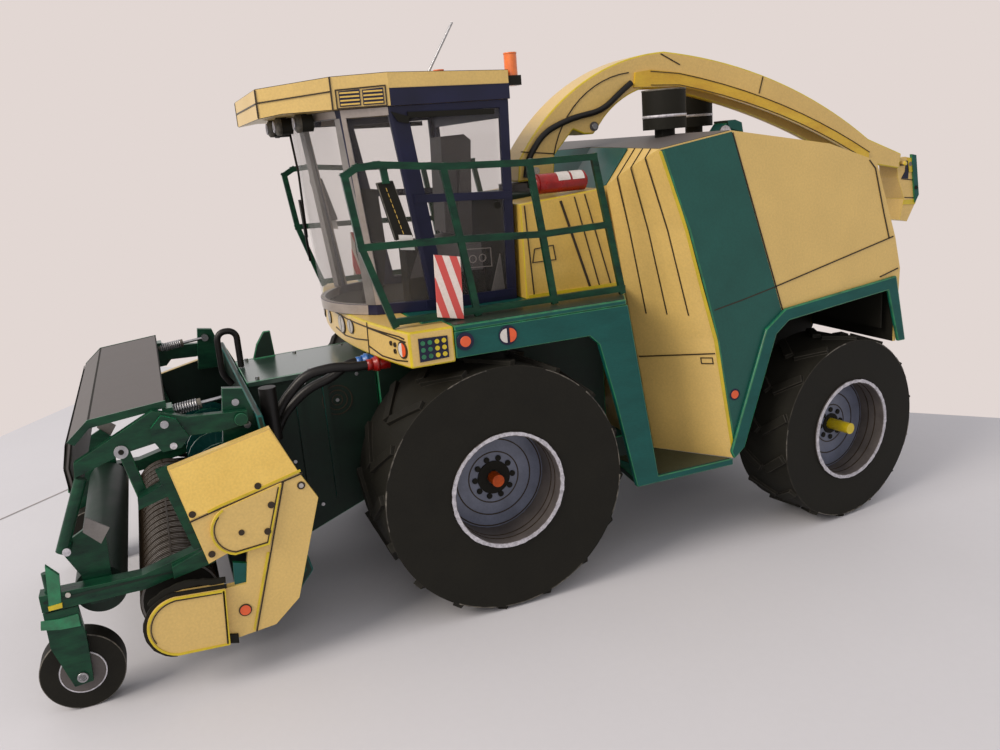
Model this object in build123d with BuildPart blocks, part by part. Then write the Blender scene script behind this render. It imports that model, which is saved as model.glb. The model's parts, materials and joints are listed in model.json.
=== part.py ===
from build123d import *
from math import cos, hypot, pi, radians, sin, tan
import os

# A card scale model of a self-propelled forage harvester with a pick-up header, at its own size.
# +X is the machine's left, +Y its rear, +Z up, and the floor is z = 0.
# Sizes are in millimetres. Places along the machine (y) are counted rearward from the front axle.

os.makedirs("parts", exist_ok=True)

# ---- driving dimensions -------------------------------------------------------------------------
CARD = 1.0                # thickness of the stiff card that most panels are made of
FIT = 0.05                # radial clearance of a pin in its hole
RUN_GAP = 0.4             # gap between a moving piece and the one beside it

WHEELBASE = 97.4
FRONT_REACH = 102.9       # front axle to the foremost point, the gauge wheels
REAR_REACH = 165.8        # front axle to the rearmost point, the spout's flap
FRONT_AXLE_Y = (FRONT_REACH - REAR_REACH) / 2

FRONT_TYRE_R = 30.0
FRONT_TYRE_W = 24.0
FRONT_FACE_X = 47.0       # outer face of the front tyres
FRONT_RIM_R = 13.9
FRONT_DISH = 9.7          # how deep the wheel disc lies behind the tyre's face
FRONT_PIN_OUT = 3.3       # axle pin past the wheel disc

REAR_TYRE_R = 25.2
REAR_TYRE_W = 17.6
REAR_FACE_X = 46.9
REAR_RIM_R = 13.7
REAR_DISH = 7.1
REAR_PIN_OUT = 7.0
PARKED_STEER = 7.7        # degrees that the rear wheels are turned as it stands

AXLE_R = 1.5
HUB_R = 4.6
LUG_H = 0.8
LUG_W = 2.2
LUG_SLANT = 36.0
FRONT_LUGS = 16           # in each of a tyre's two rows
REAR_LUGS = 14

KINGPIN_X = 25.6
KINGPIN_R = 1.2
EAR_T = 1.6
KNUCKLE_H = 8.0
KNUCKLE_W = 5.0

FRAME_W = 28.0
BELLY_Z = 18.0
HOOD_X = 46.0             # half width of the hood, fenders and deck
HOOD_FLOOR_Z = 24.5
WING_X = 28.0             # where the slanted front panels of the hood start
KEEL_Z = 35.0
KEEL_Y = WHEELBASE - 25.4     # where the hood's floor rises over the rear axle
SKIRT_Y = WHEELBASE - 34.8    # rear end of the hood's low part
SKIRT_Z = 47.2            # lower edge of the hood's rear skirt, over the turning tyres
WELL_X = 14.0             # inner walls of the rear wheel wells
DECK_TOP_Z = 69.8
DECK_T = 1.3
BEAM_BOTTOM_Z = 62.5

CAB_FLOOR_Z = DECK_TOP_Z + 0.02
CAB_TOP_Z = 117.0
CAB_WALL = 1.2
GLASS_T = 0.4

SPOUT_X = 5.2             # half width of the spout
SLEW_Y = 30.5             # the spout's turning axis
HOUSING_TOP_Z = 94.5
TURRET_H = 2.0
SPOUT_END = REAR_REACH - 8.8      # where the spout's roof ends, over the flap
FLAP_PIVOT = (SPOUT_END + 1.5, 91.0)
FLAP_PIN_R = 0.7

HEADER_X = 46.0           # outer face of the header's side plates
SIDE_T = 2.0
REEL = (-73.4, 18.4)
REEL_R = 6.9
BAND_R = 8.2              # over the bands round the reel
AUGER = (-59.6, 33.8)
AUGER_R = 7.6
GUARD_PIVOT = (-55.9, 56.6)
ROLLER = (-88.5, 24.0)    # the press roller that hangs under the wind guard
ROLLER_R = 5.1
GAUGE_R = 8.3
GAUGE_AXLE = (GAUGE_R - FRONT_REACH, GAUGE_R)
GAUGE_W = 5.0
GAUGE_X = 37.6
GAUGE_PIN_R = 0.8
CASTER_X = 40.6
CASTER_Y = GAUGE_AXLE[0] - 2.8
ARM_Z = 24.2             # underside of the gauge wheels' arms
ARM_H = 3.6
LINK_X = 39.0             # inner face of the links that hang from the guard's arms
ROLLER_X = 36.6           # half length of the press roller
REEL_X = CASTER_X - 1.8 - 2 * RUN_GAP   # half length of the reel's drum, between those arms


def side(x):
    """Plane seen from the machine's left: local x runs rearward from the front axle, local y up."""
    return Plane(origin=(x, FRONT_AXLE_Y, 0), x_dir=(0, 1, 0), z_dir=(1, 0, 0))


def level(z):
    """Horizontal plane: local x runs left, local y rearward from the front axle."""
    return Plane(origin=(0, FRONT_AXLE_Y, z), x_dir=(1, 0, 0), z_dir=(0, 0, 1))


def facing(y):
    """Plane across the machine, seen from the front: local x runs left, local y up."""
    return Plane(origin=(0, FRONT_AXLE_Y + y, 0), x_dir=(1, 0, 0), z_dir=(0, -1, 0))


def at(x, y, z):
    """A point of the machine, with y counted from the front axle."""
    return (x, FRONT_AXLE_Y + y, z)


def outline(*points):
    """A filled polygon in the sketch that is open, its corners taken anticlockwise."""
    turns = sum(a[0] * b[1] - b[0] * a[1] for a, b in zip(points, points[1:] + points[:1]))
    Polygon(*(points if turns > 0 else points[::-1]))


def wheel_seat(x, y, z, toward, steer):
    """Plane on a tyre's outer face: its normal points outboard, turned by the steering angle."""
    angle = radians(steer)
    pivot_x = toward * KINGPIN_X if steer else 0.0
    reach = x - abs(pivot_x)
    out = (toward * cos(angle), toward * sin(angle), 0)
    origin = (pivot_x + out[0] * reach, FRONT_AXLE_Y + y + out[1] * reach, z)
    return Plane(origin=origin, x_dir=(0, 0, 1), z_dir=out)


def hose_radii(points):
    """The bend at each corner of a hose's route, from its shorter run and how far it turns there."""
    radii = []
    for a, b, c in zip(points, points[1:], points[2:]):
        run_in, run_out = Vector(*b) - Vector(*a), Vector(*c) - Vector(*b)
        half_turn = radians(run_in.get_angle(run_out)) / 2
        radii.append(0.45 * min(run_in.length, run_out.length) / tan(half_turn))
    return radii


def hose(points, radius):
    """A round hose: straight runs between points of the machine, joined by tangent arcs."""
    points = [at(*point) for point in points]
    radii = hose_radii(points)
    with BuildPart() as tube:
        with BuildLine():
            route = FilletPolyline(*points, radius=radii)
        with BuildSketch(Plane(origin=route @ 0, z_dir=route % 0)):
            Circle(radius)
        sweep(path=route)
    length = route.length
    share = tube.part.volume / (pi * radius**2 * length)
    print("hose", round(length, 1), "mm, bends", [round(r, 1) for r in radii], "volume", round(share, 3))
    return tube.part


# ---- wheels -------------------------------------------------------------------------------------
# name: side sign, axle y, tyre radius, width, face x, rim radius, dish depth, lugs a row, steer
wheels = {
    "front_left": (1, 0.0, FRONT_TYRE_R, FRONT_TYRE_W, FRONT_FACE_X, FRONT_RIM_R, FRONT_DISH,
                   FRONT_LUGS, 0.0),
    "front_right": (-1, 0.0, FRONT_TYRE_R, FRONT_TYRE_W, FRONT_FACE_X, FRONT_RIM_R, FRONT_DISH,
                    FRONT_LUGS, 0.0),
    "rear_left": (1, WHEELBASE, REAR_TYRE_R, REAR_TYRE_W, REAR_FACE_X, REAR_RIM_R, REAR_DISH,
                  REAR_LUGS, PARKED_STEER),
    "rear_right": (-1, WHEELBASE, REAR_TYRE_R, REAR_TYRE_W, REAR_FACE_X, REAR_RIM_R, REAR_DISH,
                   REAR_LUGS, PARKED_STEER),
}

for name, (sign, axle_y, tyre_r, width, face_x, rim_r, dish, lugs, steer) in wheels.items():
    seat = wheel_seat(face_x, axle_y, tyre_r, sign, steer)
    with BuildPart(seat) as tyre:
        with BuildSketch(seat):
            Circle(tyre_r - LUG_H)
            Circle(rim_r, mode=Mode.SUBTRACT)
        extrude(amount=-width)
        lug_length = width / 2 / cos(radians(LUG_SLANT)) - LUG_W
        for depth, slant in ((0.25 * width, LUG_SLANT), (0.75 * width, -LUG_SLANT)):
            with PolarLocations(tyre_r - LUG_H, lugs):
                with Locations((0, 0, -depth)):
                    Box(2 * LUG_H, LUG_W, lug_length, rotation=(sign * slant, 0, 0))
    tyre.part.label = "tyre_" + name
    export_step(tyre.part, "parts/tyre_" + name + ".step")

    with BuildPart() as rim:
        with BuildSketch(seat.offset(0.3)):
            Circle(rim_r - FIT)
            Circle(rim_r - CARD, mode=Mode.SUBTRACT)
        extrude(amount=-width)
        with BuildSketch(seat.offset(-dish)):
            Circle(rim_r - CARD / 2)
        extrude(amount=-CARD)
        with BuildSketch(seat.offset(-dish)):
            Circle(HUB_R)
        extrude(amount=-(width - dish))
        with BuildSketch(seat.offset(1)):
            Circle(AXLE_R + FIT)
        extrude(amount=-(width + 2), mode=Mode.SUBTRACT)
    rim.part.label = "rim_" + name
    export_step(rim.part, "parts/rim_" + name + ".step")

# ---- axles --------------------------------------------------------------------------------------
FINAL_DRIVE_R = 8.0
front_inner_x = FRONT_FACE_X - FRONT_TYRE_W
with BuildPart() as front_axle:
    for sign in (1, -1):
        with BuildSketch(side(sign * FRAME_W / 2)):
            with Locations((0, FRONT_TYRE_R)):
                Circle(FINAL_DRIVE_R)
        extrude(amount=sign * (front_inner_x - FRAME_W / 2 - RUN_GAP))
        with BuildSketch(side(sign * FRAME_W / 2)):
            with Locations((0, FRONT_TYRE_R)):
                Circle(AXLE_R)
        extrude(amount=sign * (FRONT_FACE_X - FRONT_DISH + FRONT_PIN_OUT - FRAME_W / 2))
front_axle.part.label = "front_axle"
export_step(front_axle.part, "parts/front_axle.step")

ear_in = KNUCKLE_H / 2 + RUN_GAP / 2
with BuildPart() as rear_axle:
    with BuildSketch(facing(WHEELBASE - 3)):
        with Locations((0, REAR_TYRE_R)):
            Rectangle(2 * (KINGPIN_X - KNUCKLE_W / 2 - 1.6), 2 * (ear_in + EAR_T))
    extrude(amount=-6)
    for ear_z in (REAR_TYRE_R + ear_in, REAR_TYRE_R - ear_in - EAR_T):
        with BuildSketch(level(ear_z)):
            with Locations((0, WHEELBASE)):
                Rectangle(2 * KINGPIN_X, 6)
            with Locations((KINGPIN_X, WHEELBASE), (-KINGPIN_X, WHEELBASE)):
                Circle(3)
        extrude(amount=EAR_T)
    with Locations(at(KINGPIN_X, WHEELBASE, REAR_TYRE_R), at(-KINGPIN_X, WHEELBASE, REAR_TYRE_R)):
        Cylinder(KINGPIN_R + FIT, 20, mode=Mode.SUBTRACT)
rear_axle.part.label = "rear_axle"
export_step(rear_axle.part, "parts/rear_axle.step")

for name, sign in (("left", 1), ("right", -1)):
    seat = wheel_seat(REAR_FACE_X - REAR_DISH, WHEELBASE, REAR_TYRE_R, sign, PARKED_STEER)
    stub = REAR_FACE_X - REAR_DISH + REAR_PIN_OUT - KINGPIN_X
    with BuildPart() as knuckle:
        with Locations(at(sign * KINGPIN_X, WHEELBASE, REAR_TYRE_R)):
            Box(KNUCKLE_W, KNUCKLE_W, KNUCKLE_H)
            Cylinder(KINGPIN_R, KNUCKLE_H + RUN_GAP + 2 * EAR_T)
        with BuildSketch(seat.offset(REAR_PIN_OUT)):
            Circle(AXLE_R)
        extrude(amount=-stub)
    knuckle.part.label = "knuckle_" + name
    export_step(knuckle.part, "parts/knuckle_" + name + ".step")

# ---- frame and hood -----------------------------------------------------------------------------
with BuildPart() as main_frame:
    with BuildSketch(side(-FRAME_W / 2)):
        outline((-20, BELLY_Z), (62, BELLY_Z), (74, 31.6), (110, 31.6), (110, KEEL_Z), (KEEL_Y, KEEL_Z),
                (SKIRT_Y, HOOD_FLOOR_Z), (43.5, HOOD_FLOOR_Z), (43.5, 60), (-20, 60))
    extrude(amount=FRAME_W)
main_frame.part.label = "main_frame"
export_step(main_frame.part, "parts/main_frame.step")

# sections of the hood: z, y of the front wall, y where the slanted wing meets the side panel
hood_sections = [(HOOD_FLOOR_Z, 50.1, 62.6), (56.4, 45.3, 57.6), (83.9, 41.1, 50.1), (107.0, 37.6, 42.0)]
HOOD_REAR_Y = 120.0
HOOD_TOP = [(43.4, 103.1), (63.4, 105.9), (92.3, 100.8), (107.4, 95.5), (114.4, 75.4)]
# the rear wheel arch, counted from the rear axle
ARCH = [(-33.9, 20), (-32.2, 27.5), (-21.8, 55.2), (-17.9, 58.2), (17.2, 62.0), (17.2, SKIRT_Z),
        (33, SKIRT_Z), (33, 20)]
with BuildPart() as engine_hood:
    for z, wall_y, wing_y in hood_sections:
        with BuildSketch(level(z)):
            outline((0, wall_y), (WING_X, wall_y), (HOOD_X, wing_y), (HOOD_X, HOOD_REAR_Y), (0, HOOD_REAR_Y))
    loft(ruled=True)
    with BuildSketch(side(-1)):
        outline((30, 103.1), *HOOD_TOP, (116.4, 66.9), (115.6, SKIRT_Z), (110, KEEL_Z), (KEEL_Y, KEEL_Z),
                (SKIRT_Y, HOOD_FLOOR_Z), (30, HOOD_FLOOR_Z))
    extrude(amount=HOOD_X + 2, mode=Mode.INTERSECT)
    with BuildSketch(side(WELL_X)):
        outline(*[(WHEELBASE + y, z) for y, z in ARCH])
    extrude(amount=HOOD_X, mode=Mode.SUBTRACT)
    # the facet over the slanted wing, through its three corners
    split(bisect_by=Plane(origin=at(WING_X, 39.4, 95.2), z_dir=(-16.6, -122.8, 100)), keep=Keep.BOTTOM)
    mirror(about=Plane.YZ)
engine_hood.part.label = "engine_hood"
export_step(engine_hood.part, "parts/engine_hood.step")

FLANGE_OUT = 1.0
# the green edge round the arch, counted from the rear axle
FLANGE = [(-35.0, HOOD_FLOOR_Z), (-31.8, 27.0), (-21.8, 55.2), (-17.9, 58.2), (14.2, 61.6), (18.2, SKIRT_Z),
          (20.8, SKIRT_Z), (17.0, 65.2), (-19.0, 61.4), (-25.0, 57.0), (-36.0, 26.6)]
with BuildPart() as rear_fenders:
    for sign in (1, -1):
        with BuildSketch(side(sign * (HOOD_X + 0.02))):
            outline(*[(WHEELBASE + y, z) for y, z in FLANGE])
        extrude(amount=sign * FLANGE_OUT)
rear_fenders.part.label = "rear_fenders"
export_step(rear_fenders.part, "parts/rear_fenders.step")

# ---- deck, fenders and light bar ----------------------------------------------------------------
BAR_REAR_Y = -14.0
with BuildPart() as deck:
    with BuildSketch(level(DECK_TOP_Z - DECK_T)):
        outline((-HOOD_X, -9.3), (-38, -9.3), (-38, BAR_REAR_Y + 0.1), (38, BAR_REAR_Y + 0.1), (38, -9.3),
                (HOOD_X, -9.3), (HOOD_X, 33.4), (WING_X, 42.6), (-WING_X, 42.6), (-HOOD_X, 33.4))
    extrude(amount=DECK_T)
deck.part.label = "deck"
export_step(deck.part, "parts/deck.step")

BEAM_T = 1.6
with BuildPart() as front_fenders:
    for sign in (1, -1):
        with BuildSketch(side(sign * HOOD_X)):
            outline((-9.3, BEAM_BOTTOM_Z), (-9.3, DECK_TOP_Z - DECK_T), (33.8, DECK_TOP_Z - DECK_T),
                    (40.7, 22.6), (34.4, 22.6), (29.4, 46.1), (25.9, 60.1), (23.5, BEAM_BOTTOM_Z))
        extrude(amount=-sign * BEAM_T)
        with BuildSketch(level(HOOD_FLOOR_Z - 0.2)):
            outline((sign * HOOD_X, 34.6), (sign * HOOD_X, 62.6), (sign * WING_X, 50.1), (sign * WING_X, 37))
        extrude(amount=-CARD * 1.7)
front_fenders.part.label = "front_fenders"
export_step(front_fenders.part, "parts/front_fenders.step")

with BuildPart() as light_bar:
    with BuildSketch(level(61.8)):
        with BuildLine():
            ThreePointArc((-HOOD_X, -19.6), (0, -25.6), (HOOD_X, -19.6))
            Polyline((HOOD_X, -19.6), (HOOD_X, -9.4), (38.2, -9.4), (38.2, BAR_REAR_Y), (-38.2, BAR_REAR_Y),
                     (-38.2, -9.4), (-HOOD_X, -9.4), (-HOOD_X, -19.6))
        make_face()
    extrude(amount=DECK_TOP_Z - 61.8)
light_bar.part.label = "light_bar"
export_step(light_bar.part, "parts/light_bar.step")

# ---- cab ----------------------------------------------------------------------------------------
def cab_plan(z, inset):
    """The cab's plan at one height: straight sides, slanted quarters and a bowed windscreen."""
    rise = (z - CAB_FLOOR_Z) / (CAB_TOP_Z - CAB_FLOOR_Z)
    half = 24.5 + 3.5 * rise - inset
    post = -6.0 - 7.4 * rise
    corner = (20.0 + 5.0 * rise - inset, -19.5 - 4.5 * rise + inset)
    nose = -28.5 - 2.8 * rise + inset
    rear = 14.8 - inset
    with BuildSketch(level(z)) as plan:
        with BuildLine():
            ThreePointArc((-corner[0], corner[1]), (0, nose), corner)
            Polyline(corner, (half, post), (half, rear), (-half, rear), (-half, post),
                     (-corner[0], corner[1]))
        make_face()
    return plan.sketch


def cab_block(inset, low, high):
    """The cab's outline as one block, moved inward by an inset."""
    sections = [cab_plan(low, inset), cab_plan(high, inset)]
    with BuildPart() as block:
        loft(sections, ruled=True)
    return block.part


side_windows = [
    [(-9.4, 115.2), (12.6, 115.2), (12.6, 72.4), (-3.2, 72.4)],
    [(-23.0, 115.2), (-13.8, 115.2), (-7.4, 72.4), (-18.4, 72.4)],
]
with BuildPart() as windows:
    for points in side_windows:
        with BuildSketch(side(-40)):
            outline(*points)
        extrude(amount=80)
    with BuildSketch(facing(-15)):
        outline((-18.6, 72.4), (18.6, 72.4), (23.4, 115.2), (-23.4, 115.2))
    extrude(amount=30)
    with BuildSketch(facing(20)):
        outline((-21, 75), (21, 75), (24, 113), (-24, 113))
    extrude(amount=12)

with BuildPart() as cab_frame:
    add(cab_block(0, CAB_FLOOR_Z, CAB_TOP_Z))
    add(cab_block(CAB_WALL, CAB_FLOOR_Z - 5, CAB_TOP_Z + 5), mode=Mode.SUBTRACT)
    add(windows.part, mode=Mode.SUBTRACT)
cab_frame.part.label = "cab_frame"
export_step(cab_frame.part, "parts/cab_frame.step")

with BuildPart() as cab_glass:
    add(cab_block(0.4, CAB_FLOOR_Z, CAB_TOP_Z))
    add(cab_block(0.4 + GLASS_T, CAB_FLOOR_Z - 5, CAB_TOP_Z + 5), mode=Mode.SUBTRACT)
    add(windows.part, mode=Mode.INTERSECT)
cab_glass.part.label = "cab_glass"
export_step(cab_glass.part, "parts/cab_glass.step")

with BuildPart() as cab_roof:
    with BuildSketch(level(CAB_TOP_Z - 3)):
        outline((-20, -41), (20, -41), (25.6, -25.5), (28.4, -13.4), (28.4, 15.2), (-28.4, 15.2),
                (-28.4, -13.4), (-25.6, -25.5))
    extrude(amount=10.2)
    with BuildSketch(side(-30)):
        outline((-42, 116.2), (-36, CAB_TOP_Z), (15.3, CAB_TOP_Z), (15.3, 123.4), (-13.4, 124.2),
                (-25.5, 124.0), (-41.2, 122.6))
    extrude(amount=60, mode=Mode.INTERSECT)
cab_roof.part.label = "cab_roof"
export_step(cab_roof.part, "parts/cab_roof.step")

with BuildPart() as seat_piece:
    with BuildSketch(side(-6)):
        outline((-1, CAB_FLOOR_Z), (7, CAB_FLOOR_Z), (11, 82), (12.4, 103), (9.6, 104), (7, 85), (-4, 84),
                (-4, 81), (0, 80))
    extrude(amount=12)
seat_piece.part.label = "seat"
export_step(seat_piece.part, "parts/seat.step")

with BuildPart() as steering:
    with BuildSketch(side(-1.4)):
        outline((-19, CAB_FLOOR_Z), (-14, CAB_FLOOR_Z), (-12.4, 84), (-14.4, 85))
    extrude(amount=2.8)
    column = Plane(origin=at(0, -13.4, 84.6), x_dir=(1, 0, 0), z_dir=(0, 0.35, 1))
    with BuildSketch(column):
        Circle(4.2)
        Circle(3.3, mode=Mode.SUBTRACT)
        Rectangle(7.4, 1.2)
    extrude(amount=0.9)
steering.part.label = "steering_wheel"
export_step(steering.part, "parts/steering_wheel.step")

with BuildPart() as console:
    with BuildSketch(side(10)):
        outline((-10, CAB_FLOOR_Z), (10, CAB_FLOOR_Z), (10, 84), (-6, 86), (-10, 84))
    extrude(amount=6)
console.part.label = "console"
export_step(console.part, "parts/console.step")

# ---- pieces on the cab --------------------------------------------------------------------------
with BuildPart() as beacons:
    for x, foot in ((26.2, 119.9), (-26.2, 121.3)):
        with Locations(at(x, 16.8, foot + 4.5)):
            Cylinder(1.5, 5)
        with BuildSketch(level(foot)):
            with Locations((x, 16.9)):
                Rectangle(3.4, 3.1)
        extrude(amount=2.1)
beacons.part.label = "beacons"
export_step(beacons.part, "parts/beacons.step")

LAMP_R = 1.9
with BuildPart() as work_lamps:
    for x, y in ((-17, -32.4), (-6, -35.2), (6, -35.2), (17, -32.4)):
        with BuildSketch(facing(y)):
            with Locations((x, CAB_TOP_Z - LAMP_R - 0.1)):
                Circle(LAMP_R)
        extrude(amount=-3.6)
work_lamps.part.label = "work_lamps"
export_step(work_lamps.part, "parts/work_lamps.step")

with BuildPart() as antenna:
    mast = Plane(origin=at(-12, 7.2, 123.9), z_dir=(0, 0.636, 1))
    with BuildSketch(mast):
        Circle(0.35)
    extrude(amount=18.2)
antenna.part.label = "antenna"
export_step(antenna.part, "parts/antenna.step")

# ---- railings, mirrors and plates ---------------------------------------------------------------
RAIL_X = 39.6
BAR = 1.5
# one railing: posts as bottom (y, z) to top (y, z), then rails as lists of (y, z)
posts = [[(-20.8, 70.9), (-21.9, 74.2), (-26.2, 88.2), (-28.0, 103.2)],
         [(-1.5, 70.9), (-4.0, 87.6), (-6.6, 103.4)],
         [(17.7, 70.9), (15.8, 86.5), (13.6, 102.6)],
         [(35.6, 70.9), (32.7, 86.9), (29.8, 102.6)]]
rails = [[(-28.0, 103.2), (-25.4, 104.6), (-21.0, 104.9), (-6.6, 103.4), (13.6, 102.6), (29.8, 102.6)],
         [(-26.2, 88.2), (-4.0, 87.6), (15.8, 86.5), (32.7, 86.9)],
         [(-20.8, 71.4), (35.6, 71.4)]]
with BuildPart() as railings:
    for sign in (1, -1):
        for run in posts + rails:
            for start, end in zip(run, run[1:]):
                length = hypot(end[0] - start[0], end[1] - start[1])
                along = ((end[0] - start[0]) / length, (end[1] - start[1]) / length)
                across = (-along[1] * BAR / 2, along[0] * BAR / 2)
                tip = (end[0] + along[0] * BAR / 2, end[1] + along[1] * BAR / 2)
                tail = (start[0] - along[0] * BAR / 2, start[1] - along[1] * BAR / 2)
                with BuildSketch(side(sign * RAIL_X)):
                    outline((tail[0] + across[0], tail[1] + across[1]),
                            (tip[0] + across[0], tip[1] + across[1]),
                            (tip[0] - across[0], tip[1] - across[1]),
                            (tail[0] - across[0], tail[1] - across[1]))
                extrude(amount=sign * BAR * 0.7)
railings.part.label = "railings"
export_step(railings.part, "parts/railings.step")

with BuildPart() as mirrors:
    for sign in (1, -1):
        with BuildSketch(side(sign * (RAIL_X - 0.1))):
            outline((-21.2, 101.2), (-17.6, 101.4), (-14.4, 89.2), (-18.4, 88.8))
        extrude(amount=-sign * 1.2)
mirrors.part.label = "mirrors"
export_step(mirrors.part, "parts/mirrors.step")

with BuildPart() as warning_plates:
    for sign in (1, -1):
        with BuildSketch(side(sign * (RAIL_X + BAR * 0.7 + 0.05))):
            outline((-10.7, 85.0), (-4.8, 83.9), (-5.2, 70.1), (-11.2, 71.3))
        extrude(amount=sign * 0.6)
warning_plates.part.label = "warning_plates"
export_step(warning_plates.part, "parts/warning_plates.step")

# ---- behind the cab -----------------------------------------------------------------------------
with BuildPart() as centre_housing:
    with BuildSketch(side(-WELL_X)):
        outline((16, DECK_TOP_Z), (42.8, DECK_TOP_Z), (39.0, HOUSING_TOP_Z), (16, HOUSING_TOP_Z))
    extrude(amount=2 * WELL_X)
centre_housing.part.label = "centre_housing"
export_step(centre_housing.part, "parts/centre_housing.step")

with BuildPart() as lockers:
    for sign in (1, -1):
        with BuildSketch(side(sign * (WELL_X + 0.02))):
            outline((16, DECK_TOP_Z), (42.6, DECK_TOP_Z), (39.1, 93.6), (38.4, 94.6), (16, 92.8))
        extrude(amount=sign * (WING_X - WELL_X - 0.1))
lockers.part.label = "lockers"
export_step(lockers.part, "parts/lockers.step")

with BuildPart() as extinguisher:
    with BuildSketch(facing(22)):
        with Locations((25.0, 96.9)):
            Circle(2.4)
    extrude(amount=-12.4)
extinguisher.part.label = "extinguisher"
export_step(extinguisher.part, "parts/extinguisher.step")

CLEANER_Z = 107.4
CLEANER_H = 9.8
with BuildPart() as air_cleaners:
    for x, y in ((20, 61.5), (-13, 92.5)):
        with BuildSketch(level(CLEANER_Z)):
            with Locations((x, y)):
                Circle(5.6)
        extrude(amount=CLEANER_H)
        with BuildSketch(level(95)):
            with Locations((x, y)):
                Circle(2.6)
        extrude(amount=CLEANER_Z - 95)
    with BuildSketch(side(-30)):
        outline((50, 90), *[(y, z + 0.02) for y, z in HOOD_TOP])
    extrude(amount=60, mode=Mode.SUBTRACT)
air_cleaners.part.label = "air_cleaners"
export_step(air_cleaners.part, "parts/air_cleaners.step")

# ---- spout --------------------------------------------------------------------------------------
with BuildPart() as turret:
    with BuildSketch(level(HOUSING_TOP_Z)):
        with Locations((0, SLEW_Y)):
            Circle(8)
    extrude(amount=TURRET_H)
turret.part.label = "spout_turret"
export_step(turret.part, "parts/spout_turret.step")

SPOUT_BASE_Z = HOUSING_TOP_Z + TURRET_H + RUN_GAP
with BuildPart() as spout:
    with BuildSketch(side(-SPOUT_X)):
        with BuildLine():
            Line((25.6, SPOUT_BASE_Z), (26.4, 102.7))
            ThreePointArc((26.4, 102.7), (46.6, 121.4), (71.4, 127.9))
            ThreePointArc((71.4, 127.9), (104.0, 120.2), (SPOUT_END - 13.4, 99.6))
            Polyline((SPOUT_END - 13.4, 99.6), (SPOUT_END, 94.2), (SPOUT_END - 0.8, 89.6),
                     (SPOUT_END - 13.6, 92.3))
            ThreePointArc((SPOUT_END - 13.6, 92.3), (102.2, 111.2), (75.5, 118.6))
            ThreePointArc((75.5, 118.6), (62.8, 118.2), (52.0, 111.6))
            Polyline((52.0, 111.6), (48.6, 107.6), (45.6, 107.8), (42.5, 109.2), (36.6, 103.0),
                     (36.0, SPOUT_BASE_Z), (25.6, SPOUT_BASE_Z))
        make_face()
    extrude(amount=2 * SPOUT_X)
    with BuildSketch(side(-SPOUT_X + CARD)):
        with BuildLine():
            ThreePointArc((62, 125.2), (104.0, 119.0), (SPOUT_END - 13.8, 98.6))
            Polyline((SPOUT_END - 13.8, 98.6), (SPOUT_END + 1, 92.8), (SPOUT_END - 0.8, 80),
                     (SPOUT_END - 13.6, 88), (102.2, 106), (75.5, 112),
                     (62, 112), (62, 125.2))
        make_face()
    extrude(amount=2 * (SPOUT_X - CARD), mode=Mode.SUBTRACT)
    with BuildSketch(side(-SPOUT_X - 0.5)):
        with Locations(FLAP_PIVOT):
            Circle(FLAP_PIN_R)
    extrude(amount=2 * SPOUT_X + 1)
spout.part.label = "spout"
export_step(spout.part, "parts/spout.step")

with BuildPart() as spout_hose:
    add(hose([(6.1, 27.4, SPOUT_BASE_Z + 1), (6.1, 28.6, 103.0), (6.1, 33.4, 109.0), (6.1, 41.2, 112.0),
              (6.1, 51.2, 113.6), (6.1, 57.2, 118.2), (6.1, 60.2, 120.2)], 0.8))
spout_hose.part.label = "spout_hose"
export_step(spout_hose.part, "parts/spout_hose.step")

# the flap's outline, counted from the end of the spout's roof
FLAP = [(-0.4, 91.6), (0.2, 92.6), (3.0, 93.0), (5.9, 92.2), (REAR_REACH - SPOUT_END, 79.6), (4.6, 72.4),
        (1.4, 73.2), (3.0, 79.8), (0.2, 86.6)]
with BuildPart() as spout_flap:
    with BuildSketch(side(-SPOUT_X + CARD + RUN_GAP)):
        outline(*[(SPOUT_END + y, z) for y, z in FLAP])
    extrude(amount=2 * (SPOUT_X - CARD - RUN_GAP))
    with BuildSketch(side(-SPOUT_X)):
        with Locations(FLAP_PIVOT):
            Circle(FLAP_PIN_R + FIT)
    extrude(amount=2 * SPOUT_X, mode=Mode.SUBTRACT)
spout_flap.part.label = "spout_flap"
export_step(spout_flap.part, "parts/spout_flap.step")

with BuildPart() as spout_rest:
    with BuildSketch(side(-3)):
        outline((88, 102.2), (100, 98.7), (98.6, 106.0), (95.8, 107.6), (92.6, 107.8))
    extrude(amount=6)
spout_rest.part.label = "spout_rest"
export_step(spout_rest.part, "parts/spout_rest.step")

# ---- feeder and header --------------------------------------------------------------------------
FEEDER_X = 13.0
with BuildPart() as feeder_housing:
    with BuildSketch(side(-FEEDER_X)):
        outline((-20.1, 24), (-20.1, 57.6), (-51.4, 57.0), (-49.8, 40), (-45.5, 20.4), (-41, 16))
    extrude(amount=2 * FEEDER_X)
    with BuildSketch(side(-FEEDER_X)):
        outline((-46.8, 56.9), (-45.4, 60.9), (-43.2, 64.1), (-41.4, 64.1), (-41.0, 56.9))
    extrude(amount=CARD)
feeder_housing.part.label = "feeder_housing"
export_step(feeder_housing.part, "parts/feeder_housing.step")

INNER_X = HEADER_X - SIDE_T
with BuildPart() as header_frame:
    with BuildSketch(side(-INNER_X)):
        outline((-50.0, 40), (-51.6, 57.0), (-53.0, 57.0), (-51.2, 38.0), (-47.6, 21.0), (-52, 15.4),
                (-62.0, 14.4), (-62.0, 13.2), (-51.4, 14.0), (-45.8, 20.4))
    extrude(amount=2 * INNER_X)
header_frame.part.label = "header_frame"
export_step(header_frame.part, "parts/header_frame.step")

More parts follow.
